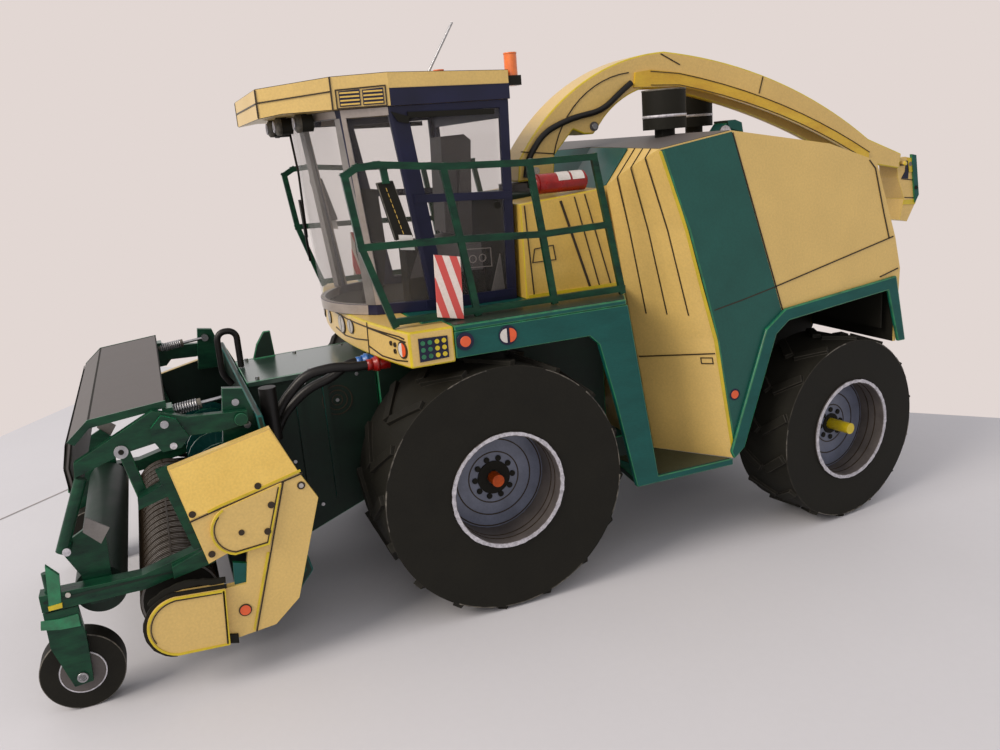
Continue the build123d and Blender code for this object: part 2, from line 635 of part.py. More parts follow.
plate_points = [(-71.5, 50), (-50.8, 54.6), (-46.1, 43.5), (-43, 37.5), (-49.9, 15.8), (-55.5, 11),
                (-66.8, 9.8), (-66.0, 22), (-60.2, 22.0), (-58.6, 31), (-66.9, 28.2)]
with BuildPart() as header_sides:
    for sign in (1, -1):
        with BuildSketch(side(sign * INNER_X)):
            outline(*plate_points)
        extrude(amount=sign * SIDE_T)
        with BuildSketch(side(sign * INNER_X)):
            with BuildLine():
                ThreePointArc((-75.8, 10.4), (-80.8, 17.2), (-74.6, 23.2))
                Polyline((-74.6, 23.2), (-64.6, 22.4), (-65.4, 9.8), (-75.8, 10.4))
            make_face()
        extrude(amount=sign * (SIDE_T + 1.4))
        with BuildSketch(side(sign * INNER_X)):
            with BuildLine():
                ThreePointArc((-62.7, 39.5), (-65.6, 34.3), (-61.6, 29.2))
                Polyline((-61.6, 29.2), (-54.4, 29.8), (-50.2, 42.6), (-62.7, 39.5))
            make_face()
        extrude(amount=sign * (SIDE_T + 0.8))
header_sides.part.label = "header_sides"
export_step(header_sides.part, "parts/header_sides.step")

with BuildPart() as header_flanges:
    for sign in (1, -1):
        with BuildSketch(side(sign * (INNER_X - 0.02))):
            outline((-73.8, 49.4), (-71.0, 50.0), (-66.4, 31.2), (-69.3, 31.2))
        extrude(amount=-sign * 1.4)
        with BuildSketch(side(sign * (LINK_X + 1.1))):
            outline((-78.2, 42.0), (-78.0, 44.2), (-73.0, 46.2), (-71.9, 43.8))
        extrude(amount=sign * (INNER_X - LINK_X - 1.14))
header_flanges.part.label = "header_flanges"
export_step(header_flanges.part, "parts/header_flanges.step")

REEL_BANDS = 21
BAND_T = 2.6
with BuildPart() as reel:
    with BuildSketch(side(-INNER_X + RUN_GAP)):
        with Locations(REEL):
            Circle(AXLE_R)
    extrude(amount=2 * (INNER_X - RUN_GAP))
    with BuildSketch(side(-REEL_X)):
        with Locations(REEL):
            Circle(REEL_R)
    extrude(amount=2 * REEL_X)
    band_step = (2 * REEL_X - BAND_T) / (REEL_BANDS - 1)
    with Locations(*[at(band_step * (i - (REEL_BANDS - 1) / 2), *REEL) for i in range(REEL_BANDS)]):
        Cylinder(BAND_R, BAND_T, rotation=(0, 90, 0))
reel.part.label = "pickup_reel"
export_step(reel.part, "parts/pickup_reel.step")

with BuildPart() as auger:
    with BuildSketch(side(-INNER_X + RUN_GAP)):
        with Locations(AUGER):
            Circle(3.4)
    extrude(amount=2 * (INNER_X - RUN_GAP))
    for sign in (1, -1):
        with Locations(*[at(sign * x, *AUGER) for x in (4.5, 12.5, 20.5, 28.5, 36.5)]):
            Cylinder(AUGER_R, 0.8, rotation=(0, 90, sign * 20))
auger.part.label = "feed_auger"
export_step(auger.part, "parts/feed_auger.step")

GUARD_X = 40.0            # half width of the wind guard
GUARD_PIN_R = 0.8
with BuildPart() as guard_brackets:
    for sign in (1, -1):
        with BuildSketch(side(sign * (GUARD_X - 2.2))):
            outline((-58.5, 62.9), (-54.6, 62.3), (-53.04, 57.0), (-52.5, 51.2), (-60, 51.2))
        extrude(amount=sign * 1.9)
        with BuildSketch(side(sign * (GUARD_X - 0.4))):
            with Locations(GUARD_PIVOT):
                Circle(GUARD_PIN_R)
        extrude(amount=sign * 3.3)
        with BuildSketch(side(sign * (GUARD_X + 2.6))):
            with Locations(GUARD_PIVOT):
                Circle(1.3)
        extrude(amount=sign * 0.5)
guard_brackets.part.label = "guard_brackets"
export_step(guard_brackets.part, "parts/guard_brackets.step")

# ---- wind guard ---------------------------------------------------------------------------------
with BuildPart() as wind_guard:
    with BuildSketch(side(-GUARD_X)):
        outline((-69.7, 62.4), (-84.4, 61.0), (-88.9, 57.2), (-90.2, 52), (-89.7, 44), (-88.7, 44),
                (-89.2, 52), (-88.0, 56.6), (-84.2, 60.0), (-69.7, 61.4))
    extrude(amount=2 * GUARD_X)
wind_guard.part.label = "wind_guard"
export_step(wind_guard.part, "parts/wind_guard.step")

with BuildPart() as guard_arms:
    for sign in (1, -1):
        with BuildSketch(side(sign * (GUARD_X + 0.02))):
            outline((-54.4, 55.2), (-54.4, 58.0), (-66, 58.8), (-72.5, 61.2), (-80, 57.4), (-88.2, 53.4),
                    (-88.6, 50.4), (-79, 53.6), (-70, 55.0), (-60, 54.6))
            with Locations(GUARD_PIVOT):
                Circle(GUARD_PIN_R + FIT, mode=Mode.SUBTRACT)
        extrude(amount=sign * 2)
guard_arms.part.label = "guard_arms"
export_step(guard_arms.part, "parts/guard_arms.step")

HANGER_X = 41.3
with BuildPart() as roller_hangers:
    for sign in (1, -1):
        with BuildSketch(Plane(origin=at(sign * HANGER_X, -93.6, 35.6), z_dir=(0, 6.0, 14.2))):
            Circle(1.2)
        extrude(amount=15.6)
        with BuildSketch(side(sign * (ROLLER_X + 0.7))):
            with Locations((-92.6, 35.9)):
                Circle(0.9)
        extrude(amount=sign * (HANGER_X - ROLLER_X - 0.7))
        with BuildSketch(side(sign * (ROLLER_X + 0.7))):
            outline((-94.6, 35.4), (-88.4, 38.7), (-85.5, 35.8), (-86.2, 21.8), (-90.8, 21.8), (-91.4, 28.4))
            with Locations(ROLLER):
                Circle(0.8 + FIT, mode=Mode.SUBTRACT)
        extrude(amount=sign * 0.9)
roller_hangers.part.label = "roller_hangers"
export_step(roller_hangers.part, "parts/roller_hangers.step")

with BuildPart() as press_roller:
    for radius, half in ((ROLLER_R, ROLLER_X), (0.8, ROLLER_X + 1.7)):
        with BuildSketch(side(-half)):
            with Locations(ROLLER):
                Circle(radius)
        extrude(amount=2 * half)
press_roller.part.label = "press_roller"
export_step(press_roller.part, "parts/press_roller.step")

with BuildPart() as guard_links:
    for sign in (1, -1):
        with BuildSketch(side(sign * LINK_X)):
            outline((-80.4, 54.2), (-78.2, 54.8), (-75.9, 43.2), (-76.4, 42.2), (-78.0, 42.4))
        extrude(amount=sign * 0.8)
guard_links.part.label = "guard_links"
export_step(guard_links.part, "parts/guard_links.step")

SPRING_X = 36.3
with BuildPart() as guard_springs:
    for sign in (1, -1):
        spring = Plane(origin=at(sign * SPRING_X, -69.0, 59.2), z_dir=(0, 12.1, 1.2))
        for radius, length in ((1.2, 5.6), (0.5, 12.2)):
            with BuildSketch(spring):
                Circle(radius)
            extrude(amount=length)
        with BuildSketch(side(sign * (SPRING_X - 0.8))):
            with Locations((-56.9, 60.4)):
                Circle(0.9)
        extrude(amount=sign * 2)
        with BuildSketch(side(sign * (SPRING_X - 0.8))):
            outline((-70.6, 57.6), (-70.6, 60.8), (-68.6, 60.8), (-68.0, 58.0))
        extrude(amount=sign * (GUARD_X - SPRING_X + 0.8))
guard_springs.part.label = "guard_springs"
export_step(guard_springs.part, "parts/guard_springs.step")

# ---- hoses between the light bar and the header -------------------------------------------------
COUPLER_Z = 60.3
hose_ends = [(29.0, -24.2), (24.5, -25.6)]
with BuildPart() as hose_couplers:
    for x, y in hose_ends:
        with BuildSketch(facing(y)):
            with Locations((x, COUPLER_Z)):
                Circle(1.45)
        extrude(amount=-3.8)
hose_couplers.part.label = "hose_couplers"
export_step(hose_couplers.part, "parts/hose_couplers.step")

HOSE_R = 1.1
LOOP_R = 0.8                # the thin loop behind the header
with BuildPart() as hoses:
    add(hose([(29.0, -24.25, COUPLER_Z), (29.0, -28.0, COUPLER_Z), (28.6, -33.0, 61.0), (27.6, -39.5, 60.2),
              (26.2, -46.0, 53.6), (25.6, -49.3, 45.0)], HOSE_R))
    add(hose([(24.5, -25.65, COUPLER_Z), (24.5, -29.0, COUPLER_Z), (24.1, -33.0, 57.6), (23.3, -39.0, 55.6),
              (22.2, -45.0, 50.4), (21.6, -48.9, 42.0)], HOSE_R))
hoses.part.label = "hoses"
export_step(hoses.part, "parts/hoses.step")

with BuildPart() as hose_loop:
    add(hose([(-5, -53.4, 53.0), (-5, -55.4, 56.0), (-5, -55.4, 66.8), (-5, -50.6, 66.8), (-5, -50.6, 57.2)],
             LOOP_R))
    with BuildSketch(level(47.5)):
        with Locations((31, -48.7)):
            Circle(1.9)
    extrude(amount=12)
hose_loop.part.label = "hose_loop"
export_step(hose_loop.part, "parts/hose_loop.step")

# ---- gauge wheels -------------------------------------------------------------------------------
fork_x = GAUGE_X + GAUGE_W / 2 + RUN_GAP
FORK_T = 1.5
with BuildPart() as gauge_arms:
    for sign in (1, -1):
        with BuildSketch(side(sign * (CASTER_X - 1.8))):
            outline((CASTER_Y - 1.8, ARM_Z), (CASTER_Y - 1.8, ARM_Z + ARM_H), (-80, ARM_Z + ARM_H - 0.4),
                    (-67.2, 30.6), (-65.4, 27.4), (-80, ARM_Z))
        extrude(amount=sign * 3.6)
        with BuildSketch(side(sign * (CASTER_X + 1.7))):
            outline((-74, 25.8), (-74, 28.4), (-67.2, 30.6), (-65.4, 27.4))
        extrude(amount=sign * (HEADER_X - SIDE_T - CASTER_X - 1.72))
        with BuildSketch(level(ARM_Z - 1)):
            with Locations((sign * CASTER_X, CASTER_Y)):
                Circle(GAUGE_PIN_R + FIT)
        extrude(amount=ARM_H + 2, mode=Mode.SUBTRACT)
gauge_arms.part.label = "gauge_arms"
export_step(gauge_arms.part, "parts/gauge_arms.step")

for name, sign in (("left", 1), ("right", -1)):
    with BuildPart() as fork:
        with BuildSketch(side(sign * fork_x)):
            outline((CASTER_Y - 1.8, ARM_Z - RUN_GAP), (CASTER_Y + 4.6, ARM_Z - RUN_GAP),
                    (CASTER_Y + 5.0, 17), (CASTER_Y + 4.6, 6.8), (CASTER_Y + 1.0, 6.4), (CASTER_Y - 1.8, 16))
        extrude(amount=sign * FORK_T)
        with BuildSketch(level(ARM_Z - RUN_GAP)):
            with Locations((sign * (CASTER_X + fork_x + FORK_T - 1.8) / 2, CASTER_Y)):
                Rectangle(fork_x + FORK_T - CASTER_X + 1.8, 3.6)
        extrude(amount=-1.4)
        with BuildSketch(level(ARM_Z - RUN_GAP - 1)):
            with Locations((sign * CASTER_X, CASTER_Y)):
                Circle(GAUGE_PIN_R)
        extrude(amount=ARM_H + 5.4)
        with BuildSketch(side(sign * (fork_x + FORK_T + 0.6))):
            with Locations(GAUGE_AXLE):
                Circle(GAUGE_PIN_R)
        extrude(amount=-sign * (GAUGE_W + RUN_GAP + FORK_T + 0.6))
    fork.part.label = "gauge_fork_" + name
    export_step(fork.part, "parts/gauge_fork_" + name + ".step")
    with BuildPart() as gauge:
        with BuildSketch(side(sign * (GAUGE_X - GAUGE_W / 2))):
            with Locations(GAUGE_AXLE):
                Circle(GAUGE_R)
                Circle(GAUGE_PIN_R + FIT, mode=Mode.SUBTRACT)
        extrude(amount=sign * GAUGE_W)
    gauge.part.label = "gauge_wheel_" + name
    export_step(gauge.part, "parts/gauge_wheel_" + name + ".step")
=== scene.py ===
"""A hand-made card model of a forage harvester: paints, prints and finer pieces for its CAD frame."""

import json
import math
from itertools import product
from types import SimpleNamespace

import bmesh
import bpy
from mathutils import Matrix, Vector, noise
from mathutils.bvhtree import BVHTree

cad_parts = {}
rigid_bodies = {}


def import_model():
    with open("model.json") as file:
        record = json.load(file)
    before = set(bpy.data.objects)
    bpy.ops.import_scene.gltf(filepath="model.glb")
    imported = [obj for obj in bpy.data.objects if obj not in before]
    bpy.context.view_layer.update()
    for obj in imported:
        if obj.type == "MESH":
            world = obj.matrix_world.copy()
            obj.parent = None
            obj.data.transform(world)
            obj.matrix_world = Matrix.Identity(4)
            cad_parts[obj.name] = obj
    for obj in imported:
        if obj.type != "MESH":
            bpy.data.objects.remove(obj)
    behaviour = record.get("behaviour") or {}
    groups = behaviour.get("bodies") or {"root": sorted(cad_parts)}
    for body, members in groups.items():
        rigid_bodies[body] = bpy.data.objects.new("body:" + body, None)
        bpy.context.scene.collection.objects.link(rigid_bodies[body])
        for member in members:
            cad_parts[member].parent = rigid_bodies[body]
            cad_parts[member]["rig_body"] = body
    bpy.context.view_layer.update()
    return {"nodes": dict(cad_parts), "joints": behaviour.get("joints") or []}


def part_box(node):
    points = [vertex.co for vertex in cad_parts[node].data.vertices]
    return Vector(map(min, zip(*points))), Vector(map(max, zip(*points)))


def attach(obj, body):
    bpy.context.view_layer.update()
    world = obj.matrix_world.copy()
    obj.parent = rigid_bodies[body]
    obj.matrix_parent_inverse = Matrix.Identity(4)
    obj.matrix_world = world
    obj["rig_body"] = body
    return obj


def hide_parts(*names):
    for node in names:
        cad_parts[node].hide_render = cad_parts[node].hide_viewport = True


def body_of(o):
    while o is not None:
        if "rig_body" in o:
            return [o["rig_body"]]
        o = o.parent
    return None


bl_info = {
    "name": "Card forage harvester",
    "version": (1, 0, 0),
    "blender": (4, 5, 0),
    "location": "View3D > Sidebar > Harvester",
    "description": "Dresses the frame of a card model of a forage harvester",
    "category": "Object",
}

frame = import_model()
MM = 0.001
UP = Vector((0, 0, 1))


def middle(node):
    """Centre of a CAD node's box, in millimetres."""
    lowest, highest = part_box(node)
    return (lowest + highest) / 2 / MM


def high(node, axis):
    """Highest coordinate of a CAD node along one axis, in millimetres."""
    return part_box(node)[1][axis] / MM


def low(node, axis):
    """Lowest coordinate of a CAD node along one axis, in millimetres."""
    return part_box(node)[0][axis] / MM


def body(node):
    """The body that a CAD node moves with."""
    return body_of(frame["nodes"][node])[0]


def show(name, data):
    """A new object with this data, in the scene."""
    made = bpy.data.objects.new(name, data)
    bpy.context.scene.collection.objects.link(made)
    return made


AXLE_Y = middle("tyre_front_left").y      # places along the machine are counted from the front axle
HOOD_X = high("engine_hood", 0)
PLATE_X = high("header_sides", 0) - 1.4   # outer face of the header's side plates, under the belt covers
SKIN = 0.14                               # how far a printed card lies over its panel
INKED = 0.2                               # how far a printed line or a painted edge stands off its panel


# ---- what a user may change -----------------------------------------------------------------------
def linear(code):
    """An sRGB hex colour as linear values, with full opacity."""
    parts = [int(code[i:i + 2], 16) / 255 for i in (1, 3, 5)]
    return [c / 12.92 if c <= 0.04045 else ((c + 0.055) / 1.055) ** 2.4 for c in parts] + [1.0]


def colour(name, code, description):
    return bpy.props.FloatVectorProperty(
        name=name, description=description, subtype="COLOR", size=4, min=0.0, max=1.0, default=linear(code))


def distance(name, millimetres, description):
    return bpy.props.FloatProperty(
        name=name, description=description, subtype="DISTANCE", unit="LENGTH", min=0.0,
        default=millimetres * MM)


def number(name, count, description):
    return bpy.props.IntProperty(name=name, description=description, min=1, default=count)


class HarvesterColours(bpy.types.PropertyGroup):
    """Colours of the model's printed and painted card"""
    bodywork: colour("Bodywork", "#CFAF66", "Printed card of the hood, the cab's roof and the side plates")
    stripe: colour("Stripe", "#14463F", "Printed stripe on the hood")
    # The frame's green is the paint, made bluer and lighter as a painted reflection of cool daylight.
    frame: colour("Frame", "#0D4440", "Painted card of the frame, the deck and the fenders")
    arms: colour("Arms", "#06241B", "Painted card of the railings, the arms and the forks")
    edge: colour("Bodywork edges", "#CDB514", "Brush paint on the edges of the bodywork")
    # Brush paint on the green edges, in a bright tone that is partly a painted highlight along them.
    frame_edge: colour("Frame edges", "#127A4E", "Brush paint on the edges of the frame")
    tyre: colour("Tyres", "#171612", "Black card of the tyres")
    rim: colour("Wheel discs", "#6A7084", "Printed card of the wheel discs")


class HarvesterSizes(bpy.types.PropertyGroup):
    """Sizes and numbers of the model's prints and small pieces"""
    line: distance("Printed line", 0.28, "Width of a printed line")
    edge: distance("Painted edge", 0.35, "Width of the brush paint along a card's edge")
    front_bolts: number("Front bolts", 10, "Bolt heads round a front hub")
    rear_bolts: number("Rear bolts", 8, "Bolt heads round a rear hub")
    reel_lines: number("Reel lines", 82, "Tine lines round the pick-up reel")
    spring_turns: number("Spring turns", 11, "Turns of each spring of the wind guard")
    vent_slats: number("Vent slats", 4, "Slats in each half of a roof vent")


# ---- places -------------------------------------------------------------------------------------
def plane(origin, right, up):
    """A drawing plane from its origin and two directions, in millimetres from the front axle."""
    x = Vector(right).normalized()
    z = x.cross(Vector(up)).normalized()
    turn = Matrix((x, z.cross(x), z)).transposed().to_4x4()
    return Matrix.Translation(Vector(origin)) @ turn


def side(x):
    """Upright plane along the machine: local x is rearward, y up and z to the left."""
    return plane((x, 0, 0), (0, 1, 0), UP)


def level(z):
    """Level plane: local x is left, y rearward and z up."""
    return plane((0, 0, z), (1, 0, 0), (0, 1, 0))


def facing(y):
    """Upright plane across the machine: local x is left, y up and z forward."""
    return plane((0, y, 0), (1, 0, 0), UP)


def moved(seat, distance_out):
    """A plane moved along its own normal."""
    return seat @ Matrix.Translation((0, 0, distance_out))


def wheel_seat(joint, tyre, sign):
    """Plane on a tyre's outer face, with its normal out along the wheel's own axle."""
    row = next(j for j in frame["joints"] if j["name"] == joint)
    out = Vector(row["axis"]).normalized()
    if out.x * sign < 0:
        out = -out
    pivot = Vector(row["pos_m"]) / MM - Vector((0, AXLE_Y, 0))
    corners = [v.co / MM - Vector((0, AXLE_Y, 0)) for v in frame["nodes"][tyre].data.vertices]
    reach = max((corner - pivot).dot(out) for corner in corners)
    return plane(pivot + out * reach, UP.cross(out), UP)


def arc(a, b, c, steps=12):
    """Points along the arc from a through b to c."""
    a, b, c = Vector(a), Vector(b), Vector(c)
    first, second = b - a, c - b
    spin = first.x * second.y - first.y * second.x
    d, e = first.dot((a + b) / 2), second.dot((b + c) / 2)
    centre = Vector(((d * second.y - e * first.y) / spin, (first.x * e - second.x * d) / spin))
    start = math.atan2(a.y - centre.y, a.x - centre.x)
    sweep = (math.atan2(c.y - centre.y, c.x - centre.x) - start) % (2 * math.pi)
    if spin < 0:
        sweep -= 2 * math.pi
    radius = (a - centre).length
    return [(centre.x + radius * math.cos(start + sweep * k / steps),
             centre.y + radius * math.sin(start + sweep * k / steps)) for k in range(steps + 1)]


def shrunk(points, share):
    """An outline drawn in, or let out, about its middle."""
    middle_x = (min(x for x, y in points) + max(x for x, y in points)) / 2
    middle_y = (min(y for x, y in points) + max(y for x, y in points)) / 2
    return [(middle_x + (x - middle_x) * share, middle_y + (y - middle_y) * share) for x, y in points]


def circle(centre, radius, steps=24, turn=2 * math.pi, start=0.0):
    """Points round a circle, or along a part of it."""
    return [(centre[0] + radius * math.cos(start + turn * k / steps),
             centre[1] + radius * math.sin(start + turn * k / steps)) for k in range(steps)]


# ---- materials ----------------------------------------------------------------------------------
look = SimpleNamespace()      # the finished materials, by name


def add(tree, kind, settings=None, inputs=None):
    """Adds a node with its settings, and sets or links its inputs by name or number."""
    made = tree.nodes.new(kind)
    for key, value in (settings or {}).items():
        setattr(made, key, value)
    for key, value in (inputs or {}).items():
        if isinstance(value, bpy.types.NodeSocket):
            tree.links.new(value, made.inputs[key])
        else:
            made.inputs[key].default_value = value
    return made


def finish(name, base, other, patch=6.0, grain=0.5, rough=0.42, coat=0.3, relief=0.03, streak=(1, 1, 1),
           drift=0.55, speckle=1.0, spec=0.5, metal=0.0):
    """A surface that drifts between two tones in patches, with a fine grain, both sized in millimetres."""
    material = bpy.data.materials.new(name)
    material.use_nodes = True
    tree = material.node_tree
    shader = tree.nodes["Principled BSDF"]
    where = add(tree, "ShaderNodeTexCoord")
    stretched = add(tree, "ShaderNodeMapping", None, {"Vector": where.outputs["Object"], "Scale": streak})
    patches = add(tree, "ShaderNodeTexNoise", None, {
        "Vector": stretched.outputs[0], "Scale": 1 / (patch * MM), "Detail": 3.0, "Roughness": 0.6})
    fibres = add(tree, "ShaderNodeTexNoise", None, {
        "Vector": stretched.outputs[0], "Scale": 1 / (grain * MM), "Detail": 2.0})
    spread = add(tree, "ShaderNodeMapRange", None, {
        "Value": patches.outputs[0], "From Min": 0.5 - drift / 2, "From Max": 0.5 + drift / 2})
    tone = add(tree, "ShaderNodeMix", {"data_type": "RGBA"}, {
        0: spread.outputs[0], 6: tuple(base), 7: tuple(other)})
    speck = add(tree, "ShaderNodeMapRange", None, {
        "Value": fibres.outputs[0], "From Min": 0.3, "From Max": 0.7,
        "To Min": 1 - 0.07 * speckle, "To Max": 1 + 0.05 * speckle})
    mixed = add(tree, "ShaderNodeMix", {"data_type": "RGBA", "blend_type": "MULTIPLY"}, {
        0: 1.0, 6: tone.outputs[2], 7: speck.outputs[0]})
    tree.links.new(mixed.outputs[2], shader.inputs["Base Color"])
    gloss = add(tree, "ShaderNodeMapRange", None, {
        "Value": patches.outputs[0], "To Min": rough - 0.08, "To Max": rough + 0.1})
    tree.links.new(gloss.outputs[0], shader.inputs["Roughness"])
    bump = add(tree, "ShaderNodeBump", None, {
        "Height": fibres.outputs[0], "Strength": 0.35, "Distance": relief * MM})
    tree.links.new(bump.outputs[0], shader.inputs["Normal"])
    for key, value in (("Coat Weight", coat), ("Coat Roughness", 0.28), ("Specular IOR Level", spec),
                       ("Metallic", metal)):
        shader.inputs[key].default_value = value
    return material


def shade(base, gain):
    """A lighter or darker tone of a linear colour."""
    return [channel * gain for channel in base[:3]] + [1.0]


def striped(name, base, other, pitch, slope, share):
    """Printed card in two colours, striped on a slant as seen from the side; the pitch is in mm."""
    material = finish(name, base, shade(base, 0.94), patch=3)
    tree = material.node_tree
    shader = tree.nodes["Principled BSDF"]
    where = add(tree, "ShaderNodeTexCoord")
    parts = add(tree, "ShaderNodeSeparateXYZ", None, {0: where.outputs["Object"]})
    across = add(tree, "ShaderNodeMath", {"operation": "MULTIPLY_ADD"}, {
        0: parts.outputs["Z"], 1: slope, 2: parts.outputs["Y"]})
    steps = add(tree, "ShaderNodeMath", {"operation": "WRAP"}, {0: across.outputs[0], 1: pitch * MM, 2: 0.0})
    chosen = add(tree, "ShaderNodeMath", {"operation": "LESS_THAN"},
                 {0: steps.outputs[0], 1: share * pitch * MM})
    paper = shader.inputs["Base Color"].links[0].from_socket
    mixed = add(tree, "ShaderNodeMix", {"data_type": "RGBA"},
                {0: chosen.outputs[0], 6: paper, 7: tuple(other)})
    tree.links.new(mixed.outputs[2], shader.inputs["Base Color"])
    return material


def mix(key, name, base, other, **more):
    """Adds a finish to the looks: its tones are hex codes, a chosen colour, or a gain on the first one."""
    base = linear(base) if isinstance(base, str) else base
    other = linear(other) if isinstance(other, str) else shade(base, other)
    setattr(look, key, finish(name, base, other, **more))


class HARVESTER_OT_paints(bpy.types.Operator):
    """Makes the materials"""
    bl_idname = "harvester.paints"
    bl_label = "Paints and prints"

    def execute(self, context):
        chosen = context.scene.harvester_colours
        # Printed card, 0.25 mm thick, varnished: soft sheen, faint paper fibre, slow drift of the print.
        mix("cream", "printed_card_cream", chosen.bodywork, 0.88, patch=14)
        mix("yellow", "printed_card_yellow", "#D2B055", "#C09C42", patch=12)
        mix("teal", "printed_card_teal", chosen.stripe, 1.3, patch=10, coat=0.1, spec=0.3)
        mix("night", "printed_card_blue_black", "#14152A", "#1A1C3A", patch=9, coat=0.1, spec=0.25)
        # Grey print, also used as a painted reflection on the hood's top and as painted shade under the
        # spout.
        mix("header", "grey_card_and_painted_light", "#4C4746", "#565150", patch=16, rough=0.5, coat=0.05, spec=0.35)
        mix("drum", "printed_card_pale_grey", "#7C7876", "#56524F", patch=9, rough=0.45)
        mix("haze", "glue_hazed_card", "#9C928B", "#857B75", patch=6, rough=0.4)
        mix("disc", "printed_card_blue_grey", chosen.rim, 0.62, patch=5, rough=0.36)
        mix("barrel", "printed_card_warm_grey", "#403B39", "#5A5452", patch=5, rough=0.5, coat=0.1)
        mix("ink", "printing_ink_brown", "#2A2118", "#352A1C", patch=3, coat=0.1, spec=0.25)
        mix("lamp", "printed_lamp_grey", "#B9B4AE", "#8F8B88", patch=1.2, rough=0.4)
        look.warning = striped("printed_card_red_and_white", linear("#DCCFC8"), linear("#C2453F"),
                               pitch=3.2, slope=0.27, share=0.52)
        mix("signal", "printed_card_signal_orange", "#DB5A26", "#C84A1C", patch=2)
        # A lighter, warmer cream for the header plate's top: painted light where it catches the lamp.
        mix("bent", "printed_card_with_painted_light", "#E6C262", "#DAB556", patch=8, rough=0.36)
        # Bare card: white and dull, grey where it is handled.
        mix("paper", "bare_card_white", "#CFCBC7", "#BDB8B4", patch=4, rough=0.5)
        # Card painted green by brush: glossy, with streaks of a lighter tone; its blue cast and lightness
        # are partly a painted reflection of cool daylight.
        mix("green", "painted_card_green", chosen.frame, 1.4, patch=5, rough=0.34, coat=0.08, relief=0.06,
            streak=(1, 0.45, 1.6), spec=0.22)
        mix("arm", "painted_card_dark_green", chosen.arms, "#0F422B", patch=3, rough=0.3, coat=0.12,
            relief=0.12, streak=(1, 0.5, 1.6), drift=0.45, spec=0.2)
        mix("arm_edge", "thin_brush_paint_green", "#12603A", "#0A2B1A", patch=2.4, grain=0.3, rough=0.34,
            coat=0.1, relief=0.08, spec=0.3)
        mix("gloss", "varnished_card_green", "#15332A", "#2E443A", patch=9, rough=0.2, coat=0.8)
        # Dull dark green: the own paint of dark parts such as the press roller, and painted shade on faces
        # that turn inward, down or aside, and in gaps.
        mix("deep", "dark_green_paint_and_painted_shade", "#0B1A14", "#12291F", patch=6, rough=0.5, coat=0.05, spec=0.25)
        mix("tread", "anti_slip_card", "#1A2A22", "#252F22", patch=3, grain=0.5, rough=0.5, coat=0.2,
            relief=0.2)
        # Matt black card with a brown cast, scuffed pale where it was cut; the same black is painted shade
        # inside the hood.
        mix("black", "black_card_and_painted_shade", chosen.tyre, 1.5, patch=9, grain=0.7, rough=0.66, coat=0.0, spec=0.16)
        mix("worn", "worn_card_edge", "#35322C", "#15130F", patch=2.5, grain=0.3, rough=0.6, coat=0.0,
            spec=0.2)
        mix("scuff", "scuffed_card_edge", "#6A655C", "#1C1A16", patch=1.6, grain=0.3, rough=0.6, coat=0.0,
            drift=0.35)
        # Brush paint along cut edges: thick, glossy, streaked the way the brush went.
        mix("edge", "brush_paint_yellow", chosen.edge, 0.72, patch=4, grain=0.3, rough=0.34, coat=0.3,
            relief=0.08)
        # The green edge paint is bright, partly as a painted highlight along the green cards' edges.
        mix("frame_edge", "brush_paint_green", chosen.frame_edge, 0.3, patch=2.4, grain=0.3, rough=0.3,
            coat=0.4, relief=0.08)
        mix("silver", "brush_paint_silver", "#D6D4DC", "#8A8890", patch=0.9, grain=0.3, rough=0.4,
            coat=0.2, relief=0.12, metal=0.3)
        mix("orange", "painted_wood_orange", "#C4500E", "#8E350A", patch=2, grain=0.3, coat=0.05, spec=0.25)
        mix("amber", "painted_card_amber", "#E07226", "#C85A18", patch=2, grain=0.3, rough=0.25, coat=0.6)
        mix("red", "painted_card_red", "#A01410", "#680C0A", patch=3, rough=0.28, coat=0.25, spec=0.35)
        mix("blue", "painted_card_blue", "#1F66B4", "#1A5090", patch=2, rough=0.3)
        # The golden yellow along the spout, brushed thick over the print.
        mix("gold", "brush_paint_golden", "#B98D18", "#D0AE2A", patch=5, grain=0.3, rough=0.34, coat=0.2,
            relief=0.08, streak=(1, 0.4, 1))
        # Drawn steel: springs, pins and the aerial, bright with soft reflections.
        mix("steel", "drawn_steel_wire", "#B5B5B8", "#8C8C90", patch=1, grain=0.2, rough=0.3, coat=0.0,
            metal=1.0)
        # Black plastic sleeve of the hoses: smooth, with a broad highlight.
        mix("sleeve", "wire_sleeve_black", "#0C0B0B", "#151313", patch=3, grain=0.4, rough=0.38, coat=0.0,
            spec=0.3)
        # Clear acetate film: barely tinted, glossy, a little hazy from glue and handling.
        mix("film", "clear_acetate_film", "#8F8A88", "#7C7775", patch=20, rough=0.12, coat=0.3, relief=0.0)
        tree = look.film.node_tree
        where = add(tree, "ShaderNodeTexCoord")
        parts = add(tree, "ShaderNodeSeparateXYZ", None, {0: where.outputs["Object"]})
        away = add(tree, "ShaderNodeMath", {"operation": "ABSOLUTE"}, {0: parts.outputs["X"]})
        haze = add(tree, "ShaderNodeMapRange", None, {
            "Value": away.outputs[0], "From Min": 19 * MM, "From Max": 24 * MM, "To Min": 0.15,
            "To Max": 0.07})
        tree.links.new(haze.outputs[0], tree.nodes["Principled BSDF"].inputs["Alpha"])
        return {"FINISHED"}


